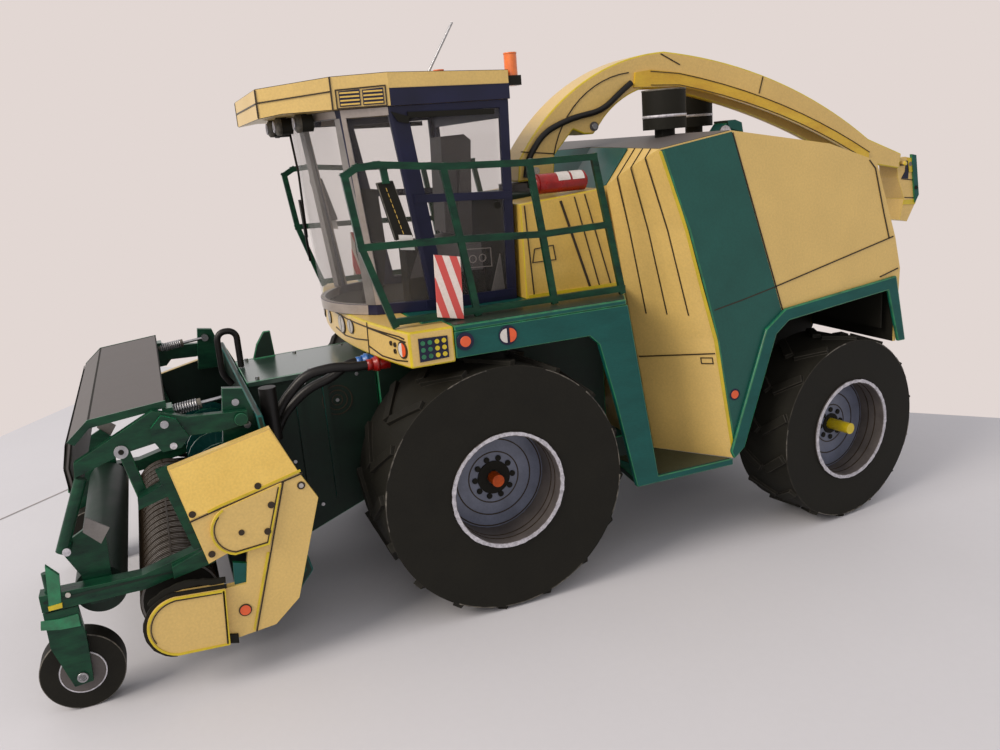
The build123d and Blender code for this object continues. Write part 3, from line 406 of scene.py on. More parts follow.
# ---- pieces -------------------------------------------------------------------------------------
class Piece:
    """Gathers cards, tubes and prints into one mesh, in millimetres counted from the front axle."""

    def __init__(self):
        self.mesh = bmesh.new()
        self.materials = []

    def index(self, material):
        if material not in self.materials:
            self.materials.append(material)
        return self.materials.index(material)

    def row(self, points):
        """New corners at these points."""
        return [self.mesh.verts.new(p) for p in points]

    def face(self, corners, material, smooth=False):
        made = self.mesh.faces.new(corners)
        made.material_index = self.index(material)
        made.smooth = smooth

    def band(self, a, b, materials, smooth=False):
        """Faces all the way round between two rows of corners, in one material or in one for each."""
        if not isinstance(materials, list):
            materials = [materials] * len(a)
        for k, material in enumerate(materials):
            j = (k + 1) % len(a)
            self.face((a[k], a[j], b[j], b[k]), material, smooth)

    def sweep(self, rows, materials, closed=False, smooth=False):
        """Bands through rows of corners, which close on themselves or get a face over each end."""
        for a, b in zip(rows, rows[1:] + (rows[:1] if closed else [])):
            self.band(a, b, materials, smooth)
        if not closed:
            for end in (rows[0][::-1], rows[-1]):
                self.face(end, materials[0] if isinstance(materials, list) else materials)

    def card(self, seat, points, depth, front, edge=None):
        """A flat card: its outline on a plane, and its thickness along the plane's normal."""
        base, top = (self.row(seat @ Vector((x, y, h)) for x, y in points) for h in (0, depth))
        self.face(base[::-1], front)
        self.face(top, front)
        self.band(base, top, edge or front)

    def sheet(self, corners, depth, front):
        """A flat card through corners given in space, thickened to the side it is seen from."""
        corners = [Vector(c) for c in corners]
        seat = plane(corners[0], corners[1] - corners[0], corners[-1] - corners[0])
        self.card(seat, [(seat.inverted() @ c).xy for c in corners], depth, front)

    def ribbon(self, points, normal, width, material, closed=False, height=INKED, uneven=0.0):
        """A thin strip that follows points on a surface with this normal, as a printed or painted line."""
        points = [Vector(p) for p in points]
        normal = Vector(normal).normalized()
        count = len(points)
        rows = []
        for i, point in enumerate(points):
            before = points[i - 1] if i or closed else point
            after = points[(i + 1) % count] if i < count - 1 or closed else point
            ways = [v.normalized() for v in (point - before, after - point) if v.length > 1e-6]
            along = sum(ways, Vector()).normalized()
            across = along.cross(normal).normalized()
            stretch = 1 / max(0.5, along.dot(ways[0]))
            half = width / 2 * stretch * (1 + uneven * noise.noise(point * 0.9))
            rows.append(self.row(point + across * s * half + normal * h
                                 for s, h in ((-1, 0), (-1, height), (1, height), (1, 0))))
        self.sweep(rows, material, closed)

    def lines(self, seat, runs, width=None, material=None, **more):
        """Printed lines on a plane, each a run of points."""
        normal = seat.to_3x3() @ UP
        width = width or bpy.context.scene.harvester_sizes.line / MM
        for run in runs:
            points = [seat @ Vector((x, y, 0)) for x, y in run]
            self.ribbon(points, normal, width, material or look.ink, **more)

    def disc(self, seat, centre, radius, height, material, inner=0.0, edge=None, steps=32):
        """A round plate or ring on a plane."""
        edge = edge or material

        def ring(r, h):
            return self.row(seat @ Vector((x, y, h)) for x, y in circle(centre, r, steps))

        base, top = ring(radius, 0), ring(radius, height)
        if inner:
            base_in, top_in = ring(inner, 0), ring(inner, height)
            self.band(base, top, edge, smooth=True)
            self.band(top, top_in, material)
            self.band(top_in, base_in, edge)
            self.band(base_in, base, material)
        else:
            self.face(top, material)
            self.face(base[::-1], material)
            self.band(base, top, edge, smooth=True)

    def tube(self, points, radii, material, sides=12):
        """A round rod through points, closed at both ends, with one radius or one for each point."""
        points = [Vector(p) for p in points]
        if not isinstance(radii, list):
            radii = [radii] * len(points)
        rows = []
        across = None
        for i, (point, radius) in enumerate(zip(points, radii)):
            along = (points[min(i + 1, len(points) - 1)] - points[max(i - 1, 0)]).normalized()
            guide = across or (UP if abs(along.z) < 0.9 else Vector((1, 0, 0)))
            across = (guide - along * guide.dot(along)).normalized()
            third = along.cross(across)
            rows.append(self.row(point + across * x + third * y for x, y in circle((0, 0), radius, sides)))
        self.sweep(rows, material, smooth=True)

    def wrap(self, start, end, radius, angles, depth, material, steps=8):
        """A card bent round a rod along the machine, between two angles up from its left side."""
        rows = []
        for k in range(steps + 1):
            angle = math.radians(angles[0] + (angles[1] - angles[0]) * k / steps)
            out = Vector((math.cos(angle), 0, math.sin(angle)))
            rows.append(self.row(Vector(p) + out * r for p, r in (
                (start, radius), (start, radius + depth), (end, radius + depth), (end, radius))))
        self.sweep(rows, material)

    def grow(self, seat, tree, sizes, material, points=((0, 0, 0),)):
        """Adds what a tree makes of its sizes and points, set on a plane."""
        grown = growth(tree, sizes, material, points)
        grown.transform(seat)
        start = len(self.mesh.faces)
        self.mesh.from_mesh(grown)
        self.mesh.faces.ensure_lookup_table()
        for made in self.mesh.faces[start:]:
            made.material_index = self.index(material)
        bpy.data.meshes.remove(grown)

    def done(self, name, node, replaces=(), mirror=False):
        """Turns the gathered mesh into one object that moves with a CAD node."""
        if mirror:
            whole = self.mesh.verts[:] + self.mesh.edges[:] + self.mesh.faces[:]
            copied = bmesh.ops.duplicate(self.mesh, geom=whole)["geom"]
            bmesh.ops.scale(self.mesh, vec=(-1, 1, 1),
                            verts=[part for part in copied if isinstance(part, bmesh.types.BMVert)])
        bmesh.ops.recalc_face_normals(self.mesh, faces=self.mesh.faces)
        data = bpy.data.meshes.new(name)
        self.mesh.to_mesh(data)
        self.mesh.free()
        data.transform(Matrix.Scale(MM, 4) @ Matrix.Translation((0, AXLE_Y, 0)))
        for material in self.materials:
            data.materials.append(material)
        place(show(name, data), body(node), replaces)


def soften(made, width, material):
    """Rounds the sharp edges of a piece a little, as cut card has them, in the material of this number."""
    rounding = made.modifiers.new("edge", "BEVEL")
    rounding.width = width * MM
    rounding.segments = 2
    rounding.limit_method = "ANGLE"
    rounding.angle_limit = math.radians(28)
    rounding.material = material
    settle(made)


def settle(made):
    """Replaces a piece's mesh by what its modifiers make of it."""
    bpy.context.view_layer.update()
    result = bpy.data.meshes.new_from_object(made.evaluated_get(bpy.context.evaluated_depsgraph_get()))
    result.name = made.name
    made.modifiers.clear()
    made.data = result


def place(made, rider, replaces=()):
    """Gives a finished piece its CAD body and the CAD nodes that it stands for."""
    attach(made, rider)
    if replaces:
        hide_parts(*replaces)


def faces_inward(node):
    """A test that is true for the faces of a CAD node that look at another part of the same node."""
    data = frame["nodes"][node].data
    tree = BVHTree.FromPolygons([v.co.copy() for v in data.vertices],
                                [list(p.vertices) for p in data.polygons])

    def looks_in(centre, normal):
        start = (centre + Vector((0, AXLE_Y, 0)) + normal * 0.05) * MM
        return tree.ray_cast(start, normal)[0] is not None
    return looks_in


def card_from(node, face, edge, width=None, other=None, chosen=None):
    """A CAD node's shape with its edges in brush paint, and some of its faces in another finish."""
    mesh = bmesh.new()
    mesh.from_mesh(frame["nodes"][node].data)
    bmesh.ops.remove_doubles(mesh, verts=mesh.verts, dist=0.002 * MM)
    bmesh.ops.dissolve_limit(mesh, angle_limit=math.radians(1.0), verts=mesh.verts, edges=mesh.edges)
    data = bpy.data.meshes.new(node + "_card")
    mesh.to_mesh(data)
    mesh.free()
    data.materials.clear()
    for material in (face, edge, other) if other else (face, edge):
        data.materials.append(material)
    for polygon in data.polygons:
        centre = polygon.center / MM - Vector((0, AXLE_Y, 0))
        polygon.material_index = 2 if other and chosen(centre, polygon.normal) else 0
        polygon.use_smooth = False
    made = show(node + "_card", data)
    soften(made, width or bpy.context.scene.harvester_sizes.edge / MM, 1)
    place(made, body(node), (node,))


def coat(**paints):
    """Gives CAD nodes that keep their own shape a finished surface each."""
    for node, material in paints.items():
        shown = frame["nodes"][node].data.materials
        shown.clear()
        shown.append(material)


# ---- what repeats -------------------------------------------------------------------------------
def start_tree(name, sizes):
    """A geometry tree with named inputs for its sizes, each a socket kind and a default."""
    tree = bpy.data.node_groups.new(name, "GeometryNodeTree")
    tree.interface.new_socket("Geometry", in_out="INPUT", socket_type="NodeSocketGeometry")
    tree.interface.new_socket("Geometry", in_out="OUTPUT", socket_type="NodeSocketGeometry")
    for label, (kind, default) in sizes.items():
        tree.interface.new_socket(label, in_out="INPUT", socket_type=kind).default_value = default
    tree.interface.new_socket("Material", in_out="INPUT", socket_type="NodeSocketMaterial")
    return tree, tree.nodes.new("NodeGroupInput").outputs


def end_tree(tree, sizes, geometry):
    """Makes a tree's instances real, gives them the material and sends them out."""
    real = add(tree, "GeometryNodeRealizeInstances", None, {"Geometry": geometry})
    painted = add(tree, "GeometryNodeSetMaterial", None, {
        "Geometry": real.outputs[0], "Material": sizes["Material"]})
    add(tree, "NodeGroupOutput", None, {0: painted.outputs[0]})
    return tree


LENGTH, COUNT = "NodeSocketFloat", "NodeSocketInt"


def scatter(tree, sizes, points, shape):
    """Ends a tree that sets one shape on each of its points."""
    spread = add(tree, "GeometryNodeInstanceOnPoints", None, {"Points": points, "Instance": shape})
    return end_tree(tree, sizes, spread.outputs[0])


def bolt_head(tree, sizes):
    return add(tree, "GeometryNodeMeshCylinder", {"fill_type": "NGON"}, {
        "Vertices": 16, "Radius": sizes["Radius"], "Depth": sizes["Height"]}).outputs["Mesh"]


def row_of(tree, sizes, way):
    """Points in a row, a pitch apart along one axis."""
    step = add(tree, "ShaderNodeCombineXYZ", None, {way: sizes["Pitch"]})
    line = add(tree, "GeometryNodeMeshLine", None, {"Count": sizes["Count"], "Offset": step.outputs[0]})
    return line.outputs[0]


def stud_tree():
    """Round heads on given points."""
    tree, sizes = start_tree("studs", {"Radius": (LENGTH, 0.5), "Height": (LENGTH, 0.3)})
    return scatter(tree, sizes, sizes["Geometry"], bolt_head(tree, sizes))


def bolt_ring_tree():
    """Bolt heads in a ring."""
    tree, sizes = start_tree("bolt_ring", {
        "Count": (COUNT, 8), "Ring": (LENGTH, 4.7), "Radius": (LENGTH, 0.7), "Height": (LENGTH, 0.4)})
    ring = add(tree, "GeometryNodeMeshCircle", None, {"Vertices": sizes["Count"], "Radius": sizes["Ring"]})
    return scatter(tree, sizes, ring.outputs[0], bolt_head(tree, sizes))


def slat_tree():
    """Flat slats, one above the other."""
    tree, sizes = start_tree("slats", {
        "Count": (COUNT, 4), "Pitch": (LENGTH, 0.8), "Length": (LENGTH, 5.0), "Height": (LENGTH, 0.4),
        "Depth": (LENGTH, 0.3)})
    block = add(tree, "ShaderNodeCombineXYZ", None, {
        "X": sizes["Length"], "Y": sizes["Height"], "Z": sizes["Depth"]})
    slat = add(tree, "GeometryNodeMeshCube", None, {"Size": block.outputs[0]})
    return scatter(tree, sizes, row_of(tree, sizes, "Y"), slat.outputs["Mesh"])


def wire_along(tree, path, radius, sides, caps=False):
    """A wire of a round section along a curve."""
    section = add(tree, "GeometryNodeCurvePrimitiveCircle", None, {"Resolution": sides, "Radius": radius})
    wire = add(tree, "GeometryNodeCurveToMesh", None, {
        "Curve": path.outputs[0], "Profile Curve": section.outputs[0], "Fill Caps": caps})
    return wire.outputs[0]


def hoop_tree():
    """Fine hoops side by side round a drum."""
    tree, sizes = start_tree("hoops", {
        "Count": (COUNT, 40), "Pitch": (LENGTH, 1.8), "Radius": (LENGTH, 8.2), "Thickness": (LENGTH, 0.15)})
    ring = add(tree, "GeometryNodeCurvePrimitiveCircle", None, {"Resolution": 40, "Radius": sizes["Radius"]})
    return scatter(tree, sizes, row_of(tree, sizes, "Z"), wire_along(tree, ring, sizes["Thickness"], 4))


def coil_tree():
    """A coil spring."""
    tree, sizes = start_tree("coil", {
        "Turns": (LENGTH, 11.0), "Radius": (LENGTH, 1.05), "Length": (LENGTH, 5.6), "Wire": (LENGTH, 0.17)})
    helix = add(tree, "GeometryNodeCurveSpiral", None, {
        "Resolution": 16, "Rotations": sizes["Turns"], "Start Radius": sizes["Radius"],
        "End Radius": sizes["Radius"], "Height": sizes["Length"]})
    return end_tree(tree, sizes, wire_along(tree, helix, sizes["Wire"], 8, caps=True))


def growth(tree, sizes, material, points):
    """What a tree makes, as a plain mesh in millimetres."""
    seed = bpy.data.meshes.new(tree.name)
    seed.from_pydata([tuple(p) for p in points], [], [])
    grown = show(tree.name, seed)
    modifier = grown.modifiers.new(tree.name, "NODES")
    modifier.node_group = tree
    values = dict(sizes, Material=material)
    for socket in tree.interface.items_tree:
        if socket.in_out == "INPUT" and socket.name in values:
            modifier[socket.identifier] = values[socket.name]
    settle(grown)
    result = grown.data
    bpy.data.objects.remove(grown)
    bpy.data.meshes.remove(seed)
    return result


# ---- operators ----------------------------------------------------------------------------------
class HARVESTER_OT_stage(bpy.types.Operator):
    """Makes the table, the backdrop, the lights and the camera"""
    bl_idname = "harvester.stage"
    bl_label = "Stage"

    def execute(self, context):
        scene = context.scene
        # the camera's place in millimetres from the front axle, and its turn in degrees
        turn, drop, roll = math.radians(69.2), math.radians(14.55), math.radians(-4.62)
        right = Vector((math.cos(turn), math.sin(turn), 0))
        back = Vector((math.sin(turn) * math.cos(drop), -math.cos(turn) * math.cos(drop), math.sin(drop)))
        up = back.cross(right)
        rolled_right = right * math.cos(roll) + up * math.sin(roll)
        rolled_up = up * math.cos(roll) - right * math.sin(roll)
        spot = Vector((227.1, -68.3 + AXLE_Y, 107.4)) * MM
        camera = show("camera", bpy.data.cameras.new("camera"))
        camera.matrix_world = Matrix.Translation(spot) @ Matrix(
            (rolled_right, rolled_up, back)).transposed().to_4x4()
        camera.data.sensor_width = 36
        camera.data.lens = 0.89302 * camera.data.sensor_width
        camera.data.clip_start = 0.01
        scene.camera = camera

        # White table top, smooth and nearly matt; its edge meets the wall behind the model.
        table = finish("white_table_top", linear("#C6C6CC"), linear("#C1C1C7"), patch=90, grain=2,
                       rough=0.55, coat=0.0, relief=0.0, speckle=0.1, spec=0.15)
        gap = finish("table_joint_grey", linear("#8E8888"), linear("#7C7777"), patch=20, rough=0.5, coat=0.0)
        corner = Vector((-0.3033, -0.0719 + AXLE_Y * MM))
        rearward, forward = Vector((0.757, 0.655)), Vector((0.823, -0.568))
        edge = [corner, corner + forward * 4, corner + forward * 4 + rearward * 4, corner + rearward * 4]
        seam = Vector((-0.0915, -0.1276 + AXLE_Y * MM))
        along, across = Vector((0.688, -0.726)), Vector((0.726, 0.688)) * 0.0004
        joint = [seam - along * 0.1 - across, seam + along * 0.35 - across, seam + along * 0.35 + across,
                 seam - along * 0.1 + across]
        cover = bpy.data.meshes.new("table_top")
        cover.from_pydata([(p.x, p.y, 0) for p in edge] + [(p.x, p.y, 0.0001) for p in joint], [],
                          [(0, 1, 2, 3), (4, 5, 6, 7)])
        cover.materials.append(table)
        cover.materials.append(gap)
        cover.polygons[1].material_index = 1
        top = show("table_top", cover)

        scene.view_settings.view_transform = "Standard"
        world = bpy.data.worlds.new("pale_wall")
        scene.world = world
        world.use_nodes = True
        tree = world.node_tree
        light = tree.nodes["Background"]
        light.inputs[0].default_value = linear("#E5E1E1")
        light.inputs[1].default_value = 0.98
        seen = add(tree, "ShaderNodeBackground", None, {"Color": linear("#E2D7D3"), "Strength": 1.0})
        ray = add(tree, "ShaderNodeLightPath")
        mixed = add(tree, "ShaderNodeMixShader", None, {
            0: ray.outputs["Is Camera Ray"], 1: light.outputs[0], 2: seen.outputs[0]})
        tree.links.new(mixed.outputs[0], tree.nodes["World Output"].inputs[0])
        for name, place_at, aim, size, power in (
                ("key", (0.25, -0.95, 0.75), (0, 0, 0.05), 0.55, 10.8),
                ("fill", (0.6, -0.4, 0.35), (0, 0, 0.05), 0.7, 0.8)):
            lamp = bpy.data.lights.new(name, "AREA")
            lamp.size = size
            lamp.energy = power
            lamp.color = linear("#FFF4E6")[:3]
            made = show(name, lamp)
            made.location = place_at
            made.rotation_euler = (Vector(place_at) - Vector(aim)).to_track_quat("Z", "Y").to_euler()
        return {"FINISHED"}


class HARVESTER_OT_wheels(bpy.types.Operator):
    """Makes the tyres, the wheel discs, their hubs and painted rims"""
    bl_idname = "harvester.wheels"
    bl_label = "Wheels"

    def execute(self, context):
        sizes = context.scene.harvester_sizes
        # end: rim radius, dish, radii of the printed rings, hub radius, bolts, radius of the bolt ring
        ends = {"front": (13.9, 9.7, (6.5, 9.6), 4.1, sizes.front_bolts, 4.8),
                "rear": (13.7, 7.1, (5.4, 8.6), 2.8, sizes.rear_bolts, 3.9)}
        tree = bolt_ring_tree()
        for (end, (rim, dish, rings, hub, bolts, bolt_ring)), (hand, sign) in product(
                ends.items(), (("left", 1), ("right", -1))):
            corner = end + "_" + hand
            tyre = "tyre_" + corner
            seat = wheel_seat(corner + "_spin", tyre, sign)
            card_from(tyre, look.black, look.worn, 0.16)
            coat(**{"rim_" + corner: look.barrel})
            face = moved(seat, -dish)
            trim = Piece()
            trim.disc(face, (0, 0), rim - 1.06, 0.12, look.disc, inner=1.7)
            for radius in rings + (rim - 1.4,):
                trim.disc(face, (0, 0), radius, 0.2, look.ink, inner=radius - 0.3, steps=48)
            trim.disc(face, (0, 0), hub, 0.45, look.black, inner=1.7)
            trim.grow(face, tree, {"Count": bolts, "Ring": bolt_ring, "Radius": 0.7, "Height": 0.9},
                      look.black)
            for depth in (2.4, 4.6):
                trim.disc(moved(seat, -depth), (0, 0), rim - 0.98, 0.2, look.ink, inner=rim - 1.12, steps=48)
            # silver brush paint on the rim's lip, broken where it has chipped
            lip = [moved(seat, 0.3) @ Vector((x, y, 0)) for x, y in circle((0, 0), rim - 0.4, 120)]
            out = seat.to_3x3() @ UP
            trim.ribbon(lip, out, 0.85, look.silver, closed=True, height=0.25, uneven=0.45)
            # the pale cut edge of the tyre's outer card, worn away here and there
            across = max(abs((seat.inverted() @ (v.co / MM - Vector((0, AXLE_Y, 0)))).y)
                         for v in frame["nodes"][tyre].data.vertices) - 0.95
            rim_edge = [seat @ Vector((x, y, 0)) for x, y in circle((0, 0), across, 150)]
            for start in range(0, 150, 10):
                if noise.noise(Vector((start * 0.37, sign, rim))) > -0.1:
                    trim.ribbon(rim_edge[start:start + 9], out, 0.22, look.scuff, height=0.06, uneven=0.9)
            trim.done("wheel_trim_" + corner, tyre)
        coat(front_axle=look.orange, knuckle_left=look.edge, knuckle_right=look.edge)
        card_from("rear_axle", look.green, look.frame_edge)
        return {"FINISHED"}


def on_wing(share, z):
    """A point of the hood's slanted front panel: its share of the way outboard, and its height."""
    # height, y of the inner edge, y of the outer edge
    rows = [(24.5, 50.1, 62.6), (56.4, 45.3, 57.6), (83.9, 41.1, 50.1), (107.0, 37.6, 42.0)]
    for (z0, in0, out0), (z1, in1, out1) in zip(rows, rows[1:]):
        if z <= z1:
            t = (z - z0) / (z1 - z0)
            inner, outer = in0 + (in1 - in0) * t, out0 + (out1 - out0) * t
            return Vector((28 + (HOOD_X - 28) * share, inner + (outer - inner) * share, z))
    raise ValueError("no wing at this height")


class HARVESTER_OT_hood(bpy.types.Operator):
    """Makes the engine hood with its stripe, seams, rear grille and lamps"""
    bl_idname = "harvester.hood"
    bl_label = "Engine hood"

    def execute(self, context):
        line = context.scene.harvester_sizes.line / MM
        looks_in = faces_inward("engine_hood")
        # black as painted shade wherever the hood looks at itself, down, back into the wheel arches, or in
        # at its sides
        card_from("engine_hood", look.cream, look.edge, None, look.black,
                  lambda c, n: looks_in(c, n) or n.z < -0.6 or (n.y > 0.3 and c.y < 100 and c.z < 70)
                  or (abs(n.x) > 0.9 and abs(c.x) < HOOD_X - 4))
        card_from("rear_fenders", look.green, look.frame_edge)
        trim = Piece()
        wall = side(HOOD_X)
        trim.card(wall, [(43.9, 102.9), (50.6, 83.9), (58.0, 56.4), (62.5, 29.2), (63.7, 29.4), (72.6, 53.6),
                         (78.6, 58.2), (63.3, 105.6)], SKIN, look.teal)
        trim.lines(wall, [
            [(57.6, 63.8), (65.7, 65.2), (75.7, 67.2), (113.6, 75.6)],
            [(109.5, 65.4), (115.6, 67.0)],
            [(105.0, 95.8), (107.0, 93.6), (110.2, 82.0), (112.2, 75.4)],
            [(63.6, 105.4), (78.9, 58.4)],
        ])
        # yellow and green brush paint down the front panel's rear edge, and yellow round the fender
        crease = [on_wing(1, z) for z in (26, 40, 56.4, 70, 83.9, 93, 102.6)]
        for behind, width, paint, uneven in ((0.25, 0.75, look.edge, 0.7),
                                             (0.95, 0.6, look.frame_edge, 0.9)):
            trim.lines(wall, [[(p.y + behind, p.z) for p in crease]], width=width, material=paint,
                       uneven=uneven)
        trim.lines(wall, [[(63.3, 29.6), (72.2, 54.0), (78.3, 58.7), (96, 62.9)]], width=0.5,
                   material=look.edge, uneven=0.8)
        trim.disc(wall, (63.2, 41.4), 1.5, 0.24, look.night)
        trim.disc(wall, (63.2, 41.4), 1.05, 0.34, look.signal)
        # the slanted front panel and the facet over it
        across = on_wing(1, 60) - on_wing(0, 60)
        out = across.cross(on_wing(0, 70) - on_wing(0, 60)).normalized()
        facet = [Vector((28, 39.4, 95.2)), Vector((HOOD_X, 43.4, 103.1)), Vector((28, 46.1, 103.5))]
        over = (facet[1] - facet[0]).cross(facet[2] - facet[0]).normalized()
        for share in (0.22, 0.49, 0.76):
            crest = facet[0].lerp(facet[1], share)
            trim.ribbon([on_wing(share, z) for z in (62.5, 73, 83.9)] + [crest], out, line, look.ink)
            trim.ribbon([crest, facet[2].lerp(facet[1], share)], over, line, look.ink)
        trim.ribbon([on_wing(0.02, 50.6), on_wing(0.98, 52.8)], out, line, look.ink)
        handle = [on_wing(s, z) for s, z in ((0.80, 49.9), (0.94, 50.1), (0.94, 51.6), (0.80, 51.4))]
        trim.ribbon(handle, out, line * 0.8, look.ink, closed=True)
        # the green front between the two facets, and behind it the top in grey, a painted reflection on the
        # cream top
        trim.sheet([(0.0, 39.9, 90.7), (27.9, 39.35, 95.2), (27.9, 46.0, 103.4), (0.0, 50.2, 104.0)], SKIN,
                   look.green)
        trim.sheet([(0.0, 50.6, 104.1), (28.0, 46.4, 103.5), (HOOD_X - 0.5, 43.9, 103.2),
                    (HOOD_X - 0.5, 63.2, 105.9), (0.0, 63.2, 105.9)], SKIN, look.header)
        # printed panel joints on the top and the back
        top = plane((0, 63.4, 105.9), (1, 0, 0), (0, 28.9, -5.1))
        trim.lines(top, [[(6, 1), (6, 28)], [(26, 1), (26, 28)], [(6, 14), (26, 14)], [(40, 1), (40, 28)]])
        back = plane((0, 107.4, 95.5), (-1, 0, 0), (0, -7.0, 20.1))
        trim.card(back, [(0, -20.0), (-36, -20.0), (-36, -3.0), (0, -3.0)], SKIN, look.night)
        trim.lines(back, [[(-38.5, -20.6), (-38.5, -2.2), (0, -2.2)]], width=0.5, material=look.ink)
        trim.grow(back @ Matrix.Translation((-18, -19, 0.2)), slat_tree(),
                  {"Count": 11, "Pitch": 1.5, "Length": 34.0, "Height": 0.5, "Depth": 0.7}, look.cream)
        skirt = plane((0, 116.4, 66.9), (-1, 0, 0), (0, 0.8, 19.7))
        for x, z, radius, paint in ((-40, -6.0, 1.9, look.red), (-40, -10.6, 1.5, look.amber),
                                    (-35.2, -6.0, 1.5, look.paper)):
            trim.disc(skirt, (x, z), radius + 0.4, 0.3, look.night)
            trim.disc(skirt, (x, z), radius, 0.7, paint)
        trim.lines(skirt, [[(-44, -1.5), (0, -1.5)], [(-30, -18), (-30, -1.5)]])
        # black sheets as painted shade inside: behind the rear wheels, and between the deck and the hood
        trim.card(facing(112.2), [(14, 51), (44.4, 51), (44.4, 62), (14, 62)], 0.4, look.black)
        trim.card(side(0), [(42, 31.8), (49.4, 31.8), (45.4, 56.4), (43.4, 68.8), (42, 68.8)], 0.4,
                  look.black)
        trim.done("hood_prints", "engine_hood", mirror=True)
        return {"FINISHED"}


def on_bar(x, z):
    """Plane on the bowed front of the light bar: local x runs left, y up, z out."""
    reach = 179.3
    y = -25.6 + reach - math.sqrt(reach ** 2 - x ** 2)
    return plane((x, y, z), (1, x / math.sqrt(reach ** 2 - x ** 2), 0), UP)


def two_colour_lamp(trim, seat, centre, radius, height, apart=0.0):
    """A round lamp in two halves, white and orange, set a little apart on a plane."""
    for start, shift, paint in ((math.pi / 2, -apart, look.paper), (-math.pi / 2, apart, look.signal)):
        half = circle((centre[0] + shift, centre[1]), radius, 13, math.pi * 13 / 12, start)
        trim.card(seat, half, height, paint)


class HARVESTER_OT_deck(bpy.types.Operator):
    """Makes the frame, the deck, the front fenders with their markers and the light bar"""
    bl_idname = "harvester.deck"
    bl_label = "Deck and light bar"

    def execute(self, context):
        line = context.scene.harvester_sizes.line / MM
        # Faces inside the frame that do not face up are painted shade, in the dark green.
        for node in ("main_frame", "deck", "front_fenders"):
            card_from(node, look.green, look.frame_edge, None, look.deep,
                      lambda c, n: abs(c.x) < HOOD_X - 3 and n.z < 0.6)
        card_from("light_bar", look.cream, look.edge, 0.45)
        deck_top = level(high("deck", 2))
        trim = Piece()
        for half in (1, -1):
            trim.card(deck_top, [(half * 28.6, -9.0), (half * 45.4, -9.0), (half * 45.4, 33.0),
                                 (half * 28.2, 41.4)], SKIN, look.tread)
            trim.card(level(24.3), [(half * 45.4, 41.4), (half * 45.4, 61.8), (half * 28.6, 50.6),
                                    (half * 28.6, 37.6)], SKIN, look.tread)
        trim.done("tread_cards", "deck")

        # reflectors on the fender beam, seen from the side
        beam = Piece()
        wall = side(HOOD_X)
        beam.disc(wall, (-7.1, 66.1), 2.0, 0.5, look.night)
        beam.disc(wall, (-7.1, 66.1), 1.2, 0.7, look.signal)
        beam.disc(wall, (3.1, 65.9), 2.2, 0.3, look.night)
        two_colour_lamp(beam, wall, (3.1, 65.9), 1.6, 0.5, 0.35)
        beam.done("fender_markers", "front_fenders", mirror=True)

        trim = Piece()
        # headlamps, printed as wide ovals: place across, height, radius
        for x, z, radius in ((5.8, 66.4, 2.4), (14.0, 67.0, 1.8), (-10.9, 65.8, 1.9), (-26.5, 65.4, 2.3),
                             (-33.5, 65.2, 2.0)):
            seat = on_bar(x, z)
            for share, height, paint in ((1.0, 0.26, look.ink), (0.86, 0.34, look.lamp)):
                oval = [(across * 1.4, up) for across, up in circle((0, 0), radius * share, 28)]
                trim.card(seat, oval, height, paint)
            trim.lines(seat, [[(0, -radius + 0.5), (0, radius - 0.5)]], width=0.2, height=0.4)
        # printed lines, through points across and up
        for spots in ([(x, 68.5) for x in range(-42, 45, 6)] + [(44.2, 68.2)],
                      [(-2, 64.3), (8, 63.8), (17.3, 64.4), (26, 65.4)],
                      [(26, 69.6), (25.4, 62.0)],
                      [(26, 68.4), (33, 68.2), (40, 67.9), (44.6, 67.6)],
                      [(25.6, 64.0), (33, 62.8), (40, 62.9), (44.8, 63.4)]):
            trim.ribbon([on_bar(x, z).translation for x, z in spots], (0, -1, 0), line, look.ink)
        for x, z in ((38.1, 66.5), (39.9, 66.4), (39.7, 64.9)):
            trim.disc(on_bar(x, z), (0, 0), 0.55, 0.26, look.ink, inner=0.3)
        lamp = on_bar(43.2, 65.7)
        trim.disc(lamp, (0, 0), 1.95, 0.26, look.ink)
        two_colour_lamp(trim, lamp, (0, 0), 1.55, 0.36)
        # twelve round lights on a dark plate at each end
        for sign in (1, -1):
            end = side(sign * HOOD_X)
            trim.card(end, [(-17.6, 63.0), (-11.0, 63.2), (-11.0, 68.0), (-17.6, 68.2)], sign * 0.24,
                      look.night)
            for column, row in product(range(4), range(3)):
                spot = (-16.7 + 1.6 * column, 64.1 + 1.5 * row)
                trim.card(end, circle(spot, 0.52, 12), sign * 0.36,
                          look.frame_edge if column < 2 else look.edge)
        trim.done("light_bar_prints", "light_bar")
        return {"FINISHED"}


